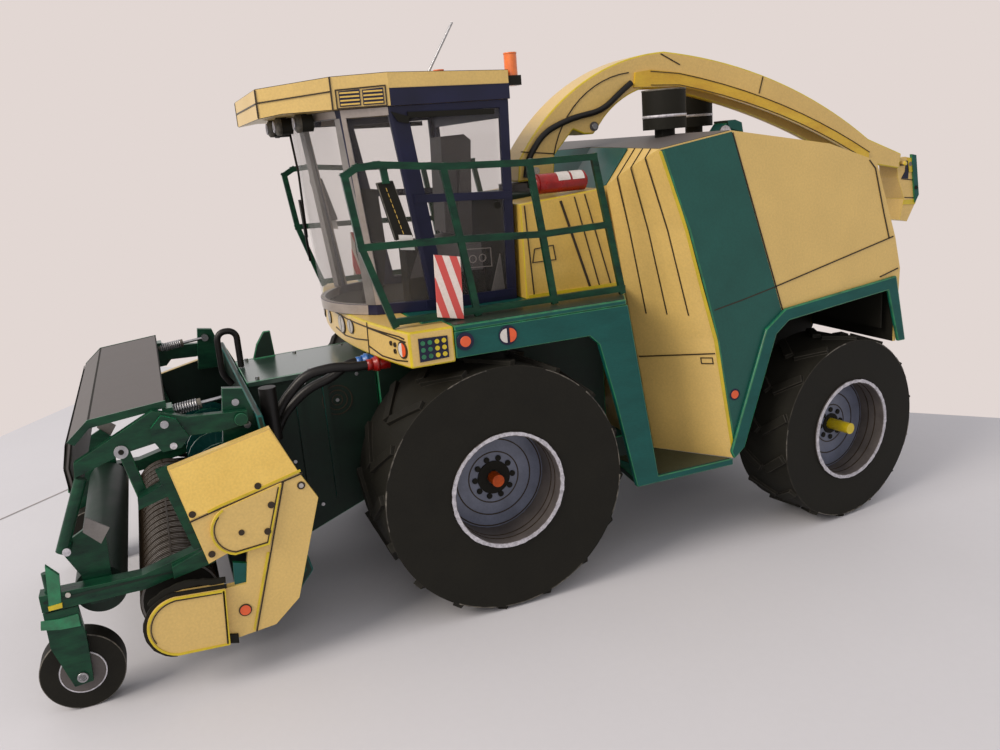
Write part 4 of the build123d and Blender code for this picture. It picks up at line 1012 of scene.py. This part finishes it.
class HARVESTER_OT_cab(bpy.types.Operator):
    """Makes the cab: its posts, film windows, roof, lamps and what is inside"""
    bl_idname = "harvester.cab"
    bl_label = "Cab"

    def execute(self, context):
        # the frame's cards under the film, at the front, are hazed by glue above and below
        card_from("cab_frame", look.night, look.night, 0.2, look.haze,
                  lambda c, n: c.y < -21 and abs(c.z - 94) > 20)
        card_from("cab_roof", look.cream, look.ink, 0.13)
        coat(cab_glass=look.film, seat=look.header, steering_wheel=look.black, console=look.black,
             antenna=look.steel, work_lamps=look.black, beacons=look.amber)

        roof = Piece()
        fascia = side(28.4)
        roof.card(fascia, [(-13.3, 117.05), (15.1, 117.05), (15.1, 120.3), (-13.3, 120.7)], SKIN, look.night)
        roof.lines(fascia, [[(-13.3, 120.7), (15.1, 120.3)]], width=0.2, material=look.night)
        # slanted quarters of the roof: from the front corner to the vent, and the vent itself
        quarter = plane((20, -41, 0), (5.6, 15.5, 0), UP)
        roof.lines(quarter, [[(0.3, 119.7), (16.3, 120.9)]])
        roof.lines(quarter, [[(0.1, 116.6), (0.1, 122.4)], [(16.4, 117.1), (16.4, 123.9)]], width=0.35)
        vent = plane((25.6, -25.5, 0), (2.8, 12.1, 0), UP)
        tree = slat_tree()
        roof.lines(vent, [[(0.9, 117.2), (11.7, 117.2), (11.7, 121.4), (0.9, 121.1), (0.9, 117.2)]])
        for start in (1.5, 6.6):
            roof.card(vent, [(start, 117.6), (start + 4.6, 117.6), (start + 4.6, 121.0), (start, 120.8)],
                      0.2, look.night)
            roof.grow(vent @ Matrix.Translation((start + 2.3, 118.0, 0.2)), tree, {
                "Count": context.scene.harvester_sizes.vent_slats, "Pitch": 0.8, "Length": 4.2,
                "Height": 0.34, "Depth": 0.3}, look.yellow)
        # the front, and a printed hatch on top
        roof.lines(facing(-41), [[(0, 119.6), (19.6, 119.6)]])
        top = plane((0, -25.5, 124.0), (1, 0, 0), (0, 12.1, 0.2))
        roof.lines(top, [[(0, 2), (14, 2), (14, 24), (0, 24)]], height=0.3)
        roof.done("roof_prints", "cab_roof", mirror=True)

        # lamps under the roof's front: silver rings round a grey lens
        lamps = Piece()
        for x, y in ((17, -32.4), (6, -35.2)):
            z = middle("work_lamps").z
            face = plane((x, y, z), (1, 0, 0), UP)
            lamps.tube([(x, y + 1.0, z), (x, y, z), (x, y - 0.5, z)], [2.05, 2.0, 1.3], look.scuff, sides=24)
            lamps.disc(moved(face, 0.5), (0, 0), 1.3, 0.25, look.silver, inner=0.8)
            lamps.disc(moved(face, 0.5), (0, 0), 0.8, 0.15, look.lamp)
            lamps.card(face, [(-0.9, 1.6), (0.9, 1.6), (0.9, 2.3), (-0.9, 2.3)], -2.4, look.black)
        lamps.done("lamp_faces", "work_lamps", mirror=True)

        # blind, latch, door rail and sill strips on the cab's sides
        trim = Piece()
        door = plane((24.5, 0, 69.8), (0, 1, 0), (3.5, 0, 47.2))
        for outline, depth, paint in (
                ([(-9.6, 44.6), (11.0, 44.2), (11.0, 45.4), (-9.6, 45.9)], 0.7, look.black),
                ([(-9.6, 25.8), (14.6, 24.6), (14.6, 26.4), (-9.6, 27.7)], 0.35, look.night),
                ([(-13.4, 46.2), (-9.3, 44.9), (-9.7, 43.4), (-12.0, 44.0)], 0.9, look.black),
                ([(-8.6, 1.0), (14.6, 1.0), (14.6, 2.8), (-8.6, 2.8)], 0.3, look.night)):
            trim.card(door, outline, depth, paint)
        trim.disc(door, (10.6, 23.4), 0.8, 0.7, look.black)
        trim.done("door_trim", "cab_frame", mirror=True)

        # wiper on the bowed windscreen
        wiper = Piece()
        wiper.tube([(1.5, -31.7, 114.6), (1.0, -30.7, 104.0), (-3.5, -29.9, 88.0)], 0.28, look.black,
                   sides=8)
        wiper.tube([(-1.6, -30.9, 97.5), (-3.8, -29.8, 82.0)], 0.35, look.sleeve, sides=8)
        wiper.tube([(1.5, -30.6, 115.4), (1.5, -32.3, 115.4)], 0.8, look.black)
        wiper.done("wiper", "cab_frame")

        # inside: floor, dark rear wall, arm-rest with dials, a folded card beside the seat, printed lines
        inside = Piece()
        plan = [(24.2, 13.9), (24.2, -6.0), (19.6, -19.2), (10.0, -26.2), (0.0, -27.9)]
        inside.card(level(69.9), plan + [(-x, y) for x, y in plan[-2::-1]], 0.5, look.black)
        inside.card(facing(13.9), [(-24.2, 70.0), (24.2, 70.0), (25.6, 94.6), (-25.6, 94.6)], 0.4,
                    look.black)
        panel = side(16.05)
        inside.card(panel, [(-9.5, 77.0), (9.6, 77.0), (9.6, 83.6), (-6.0, 85.4)], 0.3, look.header)
        for y in (7.0, 9.6):
            inside.disc(panel, (y, 79.8), 1.0, 0.45, look.haze, inner=0.8)
        inside.lines(panel, [[(5.0, 77.8), (5.0, 82.4), (12.0, 82.0), (12.0, 77.4), (5.0, 77.8)]],
                     width=0.18, material=look.haze, height=0.4)
        inside.card(side(20.6), [(9.2, 70.6), (13.2, 70.6), (12.6, 80.9)], 0.6, look.drum)
        inside.lines(facing(9.5), [[(-4.6, 74), (-4.6, 102)], [(4.6, 74), (4.6, 102)]], height=0.3)
        inside.card(side(6), [(-19.8, 99.6), (-13.0, 98.6), (-12.4, 84.0), (-14.6, 72.0), (-17.6, 72.0),
                              (-20.0, 83.6)], 1.0, look.black)
        inside.card(side(-4.6), [(4.4, 86.0), (11.2, 84.0), (13.4, 108.6), (11.6, 110.2), (5.4, 110.0)], 9.2,
                    look.header)
        inside.done("cab_fittings", "cab_frame")

        # the film's glued joints at the front corners: dark on the windscreen's side, pale on the door's
        joints = Piece()
        foot, head = (20.28, -19.75, 72.4), (24.81, -23.83, 115.2)
        for paint, *corners in (
                (look.drum, (18.5, -21.6, 72.4), foot, head, (23.3, -25.0, 115.2)),
                (look.haze, foot, (20.75, -18.3, 72.4), (25.1, -22.9, 115.2), head),
                (look.haze, head, (27.67, -13.8, 115.2), (27.85, -13.9, 116.9), (25.0, -24.0, 116.9))):
            corners = [Vector(c) for c in corners]
            out = (corners[1] - corners[0]).cross(corners[3] - corners[0]).normalized()
            joints.sheet([c + out * SKIN for c in corners], -1.2 - 2 * SKIN, paint)
        joints.done("film_joints", "cab_frame", mirror=True)

        aerial = Piece()
        aerial.tube([(-12, 6.9, 123.5), (-12, 7.9, 125.0)], [0.9, 0.55], look.black)
        aerial.done("aerial_foot", "antenna")
        beacons = Piece()
        for x, foot in ((26.2, 119.9), (-26.2, 121.3)):
            base = level(foot)
            beacons.card(base, [(x - 1.75, 15.3), (x + 1.75, 15.3), (x + 1.75, 18.5), (x - 1.75, 18.5)], 2.2,
                         look.black)
            beacons.disc(level(foot + 7.0), (x, 16.8), 1.56, 0.35, look.orange, inner=1.2, edge=look.amber)
        beacons.done("beacon_feet", "beacons")
        return {"FINISHED"}


class HARVESTER_OT_platform(bpy.types.Operator):
    """Makes the railings, mirrors, warning plates, lockers and the extinguisher"""
    bl_idname = "harvester.platform"
    bl_label = "Platform"

    def execute(self, context):
        line = context.scene.harvester_sizes.line / MM
        card_from("railings", look.arm, look.arm_edge)
        card_from("mirrors", look.black, look.scuff, 0.14)
        card_from("lockers", look.yellow, look.edge, 0.25)
        # The centre housing is painted shade all over, in the dark green, as it lies in the dark behind the
        # front wheels.
        card_from("centre_housing", look.deep, look.deep)
        coat(warning_plates=look.warning, extinguisher=look.red)

        # mirrors: a green holder, a stitched centre line and a white square at the foot
        mirrors = Piece()
        glass = side(high("mirrors", 0))
        for k in range(9):
            y, z = -19.3 + 0.32 * k, 100.0 - 1.15 * k
            mirrors.lines(glass, [[(y, z), (y + 0.2, z - 0.8)]], width=0.11, material=look.yellow,
                          height=0.16)
        mirrors.card(glass, [(-17.7, 90.0), (-14.8, 89.6), (-14.5, 86.4), (-17.6, 86.8)], 0.5, look.paper)
        mirrors.card(glass, [(-20.4, 104.6), (-18.9, 104.7), (-18.5, 100.9), (-20.0, 100.9)], 0.7, look.arm,
                     look.arm_edge)
        mirrors.done("mirror_holders", "mirrors", mirror=True)

        lockers = Piece()
        face = side(high("lockers", 0))
        lockers.lines(face, [[(26.6, 92.6), (33.6, 70.0)]], width=0.6)
        lockers.lines(face, [[(30.4, 93.2), (36.2, 70.0)], [(33.2, 93.6), (39.4, 70.2)],
                             [(17.0, 92.4), (18.0, 70.2)]])
        quad = [(18.9, 81.8), (23.9, 82.2), (24.4, 78.6), (18.2, 78.6)]
        lockers.lines(face, [quad + quad[:1]], width=line * 0.8)
        lockers.card(face, [(16.4, 69.9), (41.6, 69.9), (41.4, 70.8), (16.4, 70.8)], 0.3, look.edge)
        lockers.done("locker_prints", "lockers", mirror=True)

        # extinguisher: two white labels, a dark band, its neck, lever and strap
        bottle = Piece()
        x, z = middle("extinguisher").x, middle("extinguisher").z
        radius = high("extinguisher", 0) - x
        for start, end in ((26.8, 30.0), (30.6, 33.8)):
            bottle.wrap((x, start, z), (x, end, z), radius, (12, 88), 0.1, look.paper)
        bottle.tube([(x, 22.1, z), (x, 21.2, z), (x, 20.6, z)], [radius, radius * 0.72, radius * 0.4],
                    look.red)
        bottle.tube([(x, 20.8, z), (x, 19.7, z)], 0.7, look.black)
        bottle.card(side(x - 0.3), [(19.6, z), (21.0, z + 1.9), (21.5, z + 1.7), (20.3, z - 0.2)], 0.6,
                    look.black)
        bottle.tube([(x, 34.3, z), (x, 35.0, z)], [radius, radius * 0.7], look.red)
        bottle.done("extinguisher_labels", "extinguisher")
        return {"FINISHED"}


class HARVESTER_OT_spout(bpy.types.Operator):
    """Makes the discharge spout, its flap, its rest and the air cleaners"""
    bl_idname = "harvester.spout"
    bl_label = "Spout"

    def execute(self, context):
        # Faces of the spout's rear that turn down get grey as painted shade beneath it.
        card_from("spout", look.cream, look.edge, 0.4, look.header, lambda c, n: n.z < -0.3 and c.y > 50)
        card_from("spout_flap", look.cream, look.edge, 0.25)
        card_from("spout_rest", look.green, look.frame_edge)
        coat(spout_turret=look.header, spout_hose=look.sleeve, air_cleaners=look.black)

        trim = Piece()
        wall = side(high("spout_flap", 0) + 1.4)
        lower = arc((143.4, 92.3), (102.2, 111.2), (75.5, 118.6), 20)
        upper = [(y - 0.3, z + 3.6) for y, z in lower]
        nose = [(66.0, 118.9), (61.2, 119.0), (61.8, 122.8), (66.6, 123.3)]
        trim.card(wall, lower + nose + upper[::-1], 0.7, look.gold)
        trim.lines(moved(wall, 0.7), [[(y, z + 3.3) for y, z in lower[::2]] + [(66.4, 122.9)],
                                      [(y, z + 0.3) for y, z in lower[::2]] + [(66.4, 119.3)]], width=0.2)
        trim.lines(wall, [
            arc((36.3, 103.1), (44.6, 116.6), (60.0, 122.9), 12),
            [(70.2, 127.3), (76.2, 124.2)],
            [(26.8, 104.6), (36.4, 103.4)],
            [(104.0, 119.8), (102.6, 115.2)],
        ])
        for spot, radius, height, paint in (((48.7, 109.6), 0.8, 0.8, look.steel),
                                            ((48.7, 109.6), 1.25, 0.3, look.header),
                                            ((30.6, 99.4), 1.0, 0.8, look.steel)):
            trim.disc(wall, spot, radius, height, paint, steps=20)
        trim.done("spout_prints", "spout", mirror=True)

        # flap: inner lip, dark gaps, and a green lever with its pins at the tip
        flap = Piece()
        near = side(high("spout_flap", 0))
        flap.card(near, [(158.6, 86.4), (160.0, 88.4), (160.3, 91.8), (161.8, 91.4), (161.4, 86.0)], 0.1,
                  look.night)
        flap.lines(near, [[(160.2, 80.2), (165.2, 79.6)], [(158.6, 86.2), (163.8, 85.4)]], height=0.14)
        flap.card(near, [(160.0, 79.4), (165.2, 79.2), (164.6, 77.6), (159.6, 78.0)], 0.2, look.edge)
        for x in (3.4, -4.4):
            flap.card(side(x), [(162.2, 93.6), (164.0, 93.2), (165.7, 80.6), (164.2, 78.2)], 1.0, look.green,
                      look.frame_edge)
        flap.card(near, [(160.9, 92.7), (162.4, 92.4), (163.0, 88.0), (161.6, 88.0)], 0.3, look.edge)
        flap.disc(near, (162.0, 90.6), 0.7, 0.38, look.scuff, steps=16)
        flap.disc(near, (164.3, 83.0), 0.6, 0.8, look.black, steps=16)
        flap.done("flap_fittings", "spout_flap")

        # rest on the hood: a dark saddle, and a silver disc beside it
        rest = Piece()
        cradle = side(-3.4)
        rest.card(cradle, [(93.4, 106.4), (98.4, 104.8), (97.9, 107.6), (95.6, 108.5), (93.0, 108.4)], 6.8,
                  look.green, look.deep)
        rest.disc(side(3.0), (92.2, 105.2), 1.9, 0.5, look.silver, edge=look.scuff)
        rest.done("rest_pad", "spout_rest")

        # air cleaners: a silver band round each and a pale scuffed upper rim
        cans = Piece()
        top = high("air_cleaners", 2)
        for spot in ((20, 61.5), (-13, 92.5)):
            cans.disc(level(top - 6.9), spot, 5.7, 0.7, look.silver, inner=5.4, steps=40)
            cans.disc(level(top - 0.3), spot, 5.68, 0.4, look.scuff, inner=5.1, steps=40)
            cans.disc(level(top - 0.1), spot, 2.2, 0.3, look.black, steps=24)
        cans.done("cleaner_bands", "air_cleaners")
        return {"FINISHED"}


class HARVESTER_OT_feeder(bpy.types.Operator):
    """Makes the feeder housing with its bolts, and the hoses to the header"""
    bl_idname = "harvester.feeder"
    bl_label = "Feeder and hoses"

    def execute(self, context):
        # Only the feeder's top keeps its varnished gloss; every face that does not face up gets painted
        # shade in the dark green.
        card_from("feeder_housing", look.gloss, look.frame_edge, 0.25, look.deep, lambda c, n: n.z < 0.6)
        coat(hoses=look.sleeve, hose_loop=look.sleeve, hose_couplers=look.red)

        # the right-hand coupler is blue; both have a raised collar
        caps = Piece()
        for x, y, paint in ((29.0, -24.2, look.red), (24.5, -25.6, look.blue)):
            z = middle("hose_couplers").z
            for start, end, radius in ((3.9, -0.05, 1.52), (-0.05, -1.4, 1.3), (0.6, 1.5, 1.8)):
                caps.tube([(x, y + start, z), (x, y + end, z)], radius, paint, sides=20)
        caps.done("coupler_collars", "hose_couplers")

        trim = Piece()
        wall = side(high("feeder_housing", 0))
        studs = stud_tree()
        bolts = [(-46.2, 53.6), (-38.0, 54.8), (-30.5, 49.0), (-42.7, 35.3), (-37.4, 22.8), (-25.0, 54.8)]
        trim.grow(wall, studs, {"Radius": 0.45, "Height": 0.5}, look.steel, [(y, z, 0) for y, z in bolts])
        for radius in (1.4, 2.6, 3.8):
            trim.disc(wall, (-30.5, 49.0), radius, 0.2, look.ink, inner=radius - 0.22, steps=32)
        # stiffening strips that stand off the housing's side, their faces in the same painted shade as the
        # side
        for y0, y1 in ((-40.6, -39.4), (-33.8, -32.6)):
            trim.card(wall, [(y0, 24.0), (y1, 24.0), (y1, 55.6), (y0, 55.6)], 0.9, look.deep, look.green)
        trim.card(wall, [(-51.0, 56.0), (-20.6, 56.2), (-20.6, 57.6), (-51.2, 57.0)], 0.7, look.gloss,
                  look.frame_edge)
        trim.done("feeder_strips", "feeder_housing", mirror=True)

        lid = Piece()
        lid.grow(level(57.4), studs, {"Radius": 0.5, "Height": 0.6}, look.steel,
                 [(x, y, 0) for x, y in product((-11.4, 11.4), (-48.6, -36.0, -23.4))])
        lid.done("lid_bolts", "feeder_housing")
        return {"FINISHED"}


class HARVESTER_OT_header(bpy.types.Operator):
    """Makes the header's frame and its printed side plates"""
    bl_idname = "harvester.header"
    bl_label = "Header plates"

    def execute(self, context):
        # The header's frame is dark green all over: its own paint, and painted shade inside the header. The
        # side plates' faces that turn inward get painted shade too.
        card_from("header_frame", look.deep, look.green)
        card_from("header_sides", look.cream, look.edge, 0.3, look.deep, lambda c, n: n.x * c.x < -20)
        for node in ("header_flanges", "guard_brackets"):
            card_from(node, look.arm, look.frame_edge, 0.25)

        trim = Piece()
        plate = side(PLATE_X)
        trim.lines(plate, [
            [(-69.3, 38.0), (-63.7, 39.4), (-45.6, 43.6)],
            [(-49.7, 42.6), (-54.2, 28.2), (-59.7, 10.6)],
        ])
        trim.lines(plate, [[(-65.4, 39.4), (-62.9, 40.2), (-57.6, 41.4), (-45.9, 44.3)]], width=0.5,
                   material=look.edge)
        trim.lines(plate, [[(-54.9, 27.8), (-60.2, 11.0)]], width=0.5, material=look.edge, uneven=0.5)
        # the plate's top, in a lighter and warmer tone: painted light where the plate catches the lamp
        trim.card(plate, [(-71.1, 49.7), (-68.95, 38.5), (-46.3, 43.95), (-50.95, 54.2)], 0.08, look.bent)
        # yellow paint and a black line round the rounded cover
        cover = arc((-62.7, 39.5), (-65.6, 34.3), (-61.6, 29.2), 14) + [(-54.4, 29.8), (-50.2, 42.6)]
        raised = side(PLATE_X + 0.8)
        trim.lines(raised, [shrunk(cover, 0.965)[:17]], width=0.42, material=look.edge, uneven=0.5)
        trim.lines(raised, [shrunk(cover, 0.90)[2:17]], width=0.2)
        # dark screw heads on the plate and on its cover, and one ringed in white
        tree = stud_tree()
        for seat, radius, screws in ((plate, 0.72, [(-54.9, 42.8), (-66.0, 30.2), (-68.4, 39.6)]),
                                     (raised, 0.72, [(-52.9, 38.4), (-54.4, 32.8)]),
                                     (raised, 0.62, [(-59.6, 33.8)])):
            trim.grow(seat, tree, {"Radius": radius, "Height": 0.4}, look.ink,
                      [(y, z, 0.05) for y, z in screws])
        trim.disc(plate, (-46.2, 41.0), 0.85, 0.24, look.ink, steps=20)
        trim.disc(plate, (-46.2, 41.0), 0.5, 0.32, look.lamp, steps=20)
        # reflector
        trim.disc(plate, (-61.3, 16.1), 1.35, 0.24, look.ink)
        trim.disc(plate, (-61.3, 16.1), 1.1, 0.34, look.signal)
        # belt cover: yellow paint inside its edge with a fine line, and a torn black rim behind it
        outer = side(PLATE_X + 1.4)
        loop = [(-65.4, 9.8), (-64.6, 22.4)] + arc((-74.6, 23.2), (-80.8, 17.2), (-75.8, 10.4), 16)
        trim.lines(outer, [shrunk(loop, 0.965)], width=0.42, material=look.edge, closed=True, uneven=0.5)
        trim.lines(outer, [shrunk(loop, 0.90)[1:14]], width=0.2)
        trim.lines(outer, [[(-65.0, 22.2), (-65.9, 10.2)]], width=0.35)
        torn = [(-64.2, 23.9)] + arc((-67.0, 24.1), (-74.5, 24.6), (-79.6, 22.2), 16)
        trim.lines(side(PLATE_X + 0.2), [shrunk(loop, 1.045)[1:]], width=0.7, material=look.black,
                   height=0.7, uneven=0.5)
        trim.lines(side(PLATE_X - 0.4), [torn], width=1.1, material=look.black, height=0.8, uneven=0.9)
        # black peg and green block between the covers
        trim.card(plate, [(-66.3, 11.8), (-63.5, 11.2), (-63.6, 9.2), (-66.6, 9.9)], 0.6, look.black)
        trim.card(side(PLATE_X - 1.6), [(-62.2, 27.0), (-58.0, 25.6), (-58.6, 20.6), (-62.6, 21.4)], 1.0,
                  look.green, look.frame_edge)
        trim.done("header_prints", "header_sides", mirror=True)

        # pins of the guard's brackets
        pins = Piece()
        for y, z in ((-56.3, 59.6), (-54.6, 54.4)):
            pins.disc(side(39.7), (y, z), 0.75, 0.25, look.steel, steps=20)
        pins.done("bracket_pins", "guard_brackets", mirror=True)

        # inside of the header: ribs on its back wall
        ribs = Piece()
        wall = plane((0, -51.6, 57.0), (-1, 0, 0), (0, 1.6, -17.0))
        for x in (6, 14, 22, 30, 38):
            ribs.card(wall, [(-x - 0.5, 1.0), (-x + 0.5, 1.0), (-x + 0.5, 15.0), (-x - 0.5, 15.0)], 0.6,
                      look.green)
        ribs.done("header_ribs", "header_frame", mirror=True)
        return {"FINISHED"}


class HARVESTER_OT_reel(bpy.types.Operator):
    """Makes the pick-up reel's tine lines and the feed auger"""
    bl_idname = "harvester.reel"
    bl_label = "Reel and auger"

    def execute(self, context):
        sizes = context.scene.harvester_sizes
        coat(pickup_reel=look.drum)
        half = high("header_flanges", 0) - 6.0
        reel = middle("pickup_reel")
        radius = high("pickup_reel", 2) - reel.z
        y, z = reel.y - AXLE_Y, reel.z
        trim = Piece()
        pitch = 2 * half / (sizes.reel_lines - 1)
        trim.grow(side(-half) @ Matrix.Translation((y, z, 0)), hoop_tree(), {
            "Count": sizes.reel_lines, "Pitch": pitch, "Radius": radius + 0.04, "Thickness": 0.12}, look.ink)
        for k in range(5):
            out = Vector((0, math.cos(2 * math.pi * k / 5 + 0.4), math.sin(2 * math.pi * k / 5 + 0.4)))
            spot = Vector((0, y, z)) + out * radius
            trim.ribbon([spot + Vector((x, 0, 0)) for x in (-half, half)], out, 0.4, look.ink, height=0.12)
        for end in (1, -1):
            trim.disc(plane((end * half, y, z), (0, end, 0), UP), (0, 0), radius - 0.5, 0.2, look.black,
                      inner=1.7)
        trim.done("reel_lines", "pickup_reel")

        # auger: opposite flights that carry the crop to the middle
        auger = Piece()
        core = middle("feed_auger")
        y, z = core.y - AXLE_Y, core.z
        outer = high("feed_auger", 2) - core.z - 0.1
        reach = high("feed_auger", 0)
        auger.tube([(-reach, y, z), (reach, y, z)], 3.4, look.green, sides=28)
        steps, turns, thick = 110, 4.5, 0.35
        for hand in (1, -1):
            rows = []
            for k in range(steps + 1):
                x = hand * (3.5 + (reach - 6.5) * k / steps)
                angle = 2 * math.pi * turns * k / steps
                out = Vector((0, math.cos(angle), math.sin(angle)))
                rows.append(auger.row(Vector((x + dx, y, z)) + out * r for r, dx in (
                    (3.2, -thick), (outer, -thick), (outer, thick), (3.2, thick))))
            auger.sweep(rows, [look.green, look.frame_edge, look.green, look.green])
        auger.done("auger_flights", "feed_auger", replaces=("feed_auger",))
        return {"FINISHED"}


class HARVESTER_OT_guard(bpy.types.Operator):
    """Makes the wind guard with its arms, springs, links and press roller"""
    bl_idname = "harvester.guard"
    bl_label = "Wind guard"

    def execute(self, context):
        card_from("wind_guard", look.header, look.black, 0.3)
        for node in ("guard_arms", "guard_links", "roller_hangers"):
            card_from(node, look.arm, look.arm_edge, 0.25)
        coat(press_roller=look.deep)

        guard = Piece()
        # black inside, a black hem below and the green strip along the guard's end
        for y0, z0, y1, z1 in ((-89.95, 44.1, -90.3, 51.9), (-90.3, 52.1, -89.2, 56.8)):
            guard.sheet([(0, y0, z0), (39.9, y0, z0), (39.9, y1, z1), (0, y1, z1)], 0.12, look.black)
        end = side(39.9)
        strip = [(-87.6, 56.4), (-84.4, 59.4), (-69.7, 61.0), (-69.7, 62.5), (-84.5, 61.1), (-88.9, 57.3)]
        guard.card(end, strip, 0.25, look.arm, look.frame_edge)
        guard.done("guard_cards", "wind_guard", mirror=True)

        arms = Piece()
        outer = side(high("guard_arms", 0))
        hexagon = [(-73.3, 57.9), (-71.0, 60.2), (-68.3, 59.0), (-66.4, 54.8), (-68.2, 52.9), (-71.8, 52.7),
                   (-73.4, 55.6)]
        arms.card(outer, hexagon, 0.9, look.arm, look.frame_edge)
        arms.disc(moved(outer, 0.9), (-70.6, 58.4), 0.8, 0.5, look.steel, steps=20)
        arms.disc(moved(outer, 0.9), (-69.6, 53.6), 0.7, 0.2, look.silver, steps=16)
        arms.disc(outer, (-79.4, 54.1), 1.35, 0.5, look.steel, inner=0.55, steps=24)
        arms.disc(outer, (-79.4, 54.1), 0.5, 0.7, look.black, steps=16)
        arms.disc(side(high("guard_links", 0)), (-77.1, 43.4), 1.0, 0.6, look.steel, steps=20)
        arms.disc(side(42.3), (-92.6, 35.9), 0.8, 0.5, look.silver, steps=16)
        arms.card(side(40.2), [(-88.3, 41.6), (-84.3, 38.4), (-86.4, 35.4), (-89.3, 38.6)], 0.4, look.drum)
        arms.done("arm_pins", "wind_guard", mirror=True)

        springs = Piece()
        start, way = Vector((36.3, -69.0, 59.2)), Vector((0, 12.1, 1.2)).normalized()
        seat = plane(start, (1, 0, 0), (0, way.z, -way.y))
        turns = context.scene.harvester_sizes.spring_turns
        springs.grow(seat, coil_tree(), {"Turns": float(turns), "Radius": 1.05, "Length": 5.6, "Wire": 0.2},
                     look.steel)
        for near, far, radius, paint in ((0.4, 12.0, 0.42, look.steel), (-0.5, 0.5, 1.1, look.scuff),
                                         (5.4, 6.2, 1.1, look.scuff)):
            springs.tube([start + way * near, start + way * far], radius, paint)
        springs.tube([Vector((35.6, -56.9, 60.4)), Vector((37.5, -56.9, 60.4))], 0.95, look.steel, sides=20)
        springs.card(side(35.5), [(-70.6, 57.6), (-70.6, 60.8), (-68.6, 60.8), (-68.0, 58.0)], 4.5, look.arm,
                     look.frame_edge)
        springs.done("springs", "wind_guard", replaces=("guard_springs",), mirror=True)
        return {"FINISHED"}


class HARVESTER_OT_gauge_wheels(bpy.types.Operator):
    """Makes the gauge wheels, their forks and their arms"""
    bl_idname = "harvester.gauge_wheels"
    bl_label = "Gauge wheels"

    def execute(self, context):
        card_from("gauge_arms", look.arm, look.arm_edge)
        arms = Piece()
        # a green finger over each swivel pin, with a yellow paint mark
        y = low("gauge_fork_left", 1) - AXLE_Y
        arms.card(side(41.5), [(y + 2.3, 34.0), (y + 4.4, 31.4), (y + 3.7, 25.0), (y + 1.4, 25.0)], 1.1,
                  look.frame_edge)
        arms.card(side(42.5), [(y + 1.3, 25.4), (y + 3.9, 25.6), (y + 3.8, 24.6), (y + 1.3, 24.5)], 0.3,
                  look.edge)
        arms.disc(side(42.4), (y + 5.2, 26.9), 0.5, 0.3, look.lamp, steps=16)
        # a dark strip as painted shade in the gap between the arm's two cards
        arms.card(side(42.4), [(y + 0.6, 26.0), (y + 26.0, 26.6), (y + 26.0, 26.9), (y + 8.0, 26.8),
                               (y + 0.6, 26.5)], 0.1, look.deep)
        arms.done("swivel_fingers", "gauge_arms", mirror=True)
        for name, sign in (("left", 1), ("right", -1)):
            fork, wheel = "gauge_fork_" + name, "gauge_wheel_" + name
            card_from(fork, look.arm, look.arm_edge, 0.22)
            card_from(wheel, look.black, look.scuff, 0.2)
            hub = middle(wheel)
            rim = Piece()
            for face_x, way in ((high(wheel, 0), 1), (low(wheel, 0), -1)):
                seat = plane((face_x, hub.y - AXLE_Y, hub.z), (0, way, 0), UP)
                rim.disc(seat, (0, 0), 4.5, 0.16, look.scuff, inner=1.0)
                rim.disc(seat, (0, 0), 4.2, 0.24, look.header, inner=1.0)
                rim.disc(seat, (0, 0), 4.6, 0.2, look.silver, inner=4.35)
            rim.done("gauge_rim_" + name, wheel)
            pin = Piece()
            outer = high(fork, 0) if sign > 0 else low(fork, 0)
            seat = plane((outer, hub.y - AXLE_Y, hub.z), (0, sign, 0), UP)
            fork_face = moved(seat, -0.6)
            pin.disc(fork_face, (0, 0), 1.05, 0.6, look.steel, steps=20)
            # a bright green streak of brush paint on the fork beside the pin, which is also a painted
            # highlight
            pin.lines(fork_face, [[(-5.4 * sign, 13.2), (-2.0 * sign, 12.6), (1.6 * sign, 12.6)]], width=2.0,
                      material=look.frame_edge, uneven=0.6)
            pin.done("gauge_pin_" + name, fork)
        return {"FINISHED"}


class HARVESTER_PT_panel(bpy.types.Panel):
    """Lists the operators that dress the model"""
    bl_label = "Card forage harvester"
    bl_space_type = "VIEW_3D"
    bl_region_type = "UI"
    bl_category = "Harvester"

    def draw(self, context):
        for group in (context.scene.harvester_colours, context.scene.harvester_sizes):
            for name in group.__annotations__:
                self.layout.prop(group, name)
        for step in STEPS:
            self.layout.operator(step.bl_idname)


STEPS = (HARVESTER_OT_stage, HARVESTER_OT_paints, HARVESTER_OT_wheels, HARVESTER_OT_hood, HARVESTER_OT_deck,
         HARVESTER_OT_cab, HARVESTER_OT_platform, HARVESTER_OT_spout, HARVESTER_OT_feeder,
         HARVESTER_OT_header, HARVESTER_OT_reel, HARVESTER_OT_guard, HARVESTER_OT_gauge_wheels)
CLASSES = (HarvesterColours, HarvesterSizes) + STEPS + (HARVESTER_PT_panel,)


def register():
    for item in CLASSES:
        bpy.utils.register_class(item)
    bpy.types.Scene.harvester_colours = bpy.props.PointerProperty(type=HarvesterColours)
    bpy.types.Scene.harvester_sizes = bpy.props.PointerProperty(type=HarvesterSizes)


def unregister():
    del bpy.types.Scene.harvester_sizes
    del bpy.types.Scene.harvester_colours
    for item in reversed(CLASSES):
        bpy.utils.unregister_class(item)


def main():
    register()
    for step in STEPS:
        group, action = step.bl_idname.split(".")
        getattr(getattr(bpy.ops, group), action)()


if __name__ == "__main__":
    main()
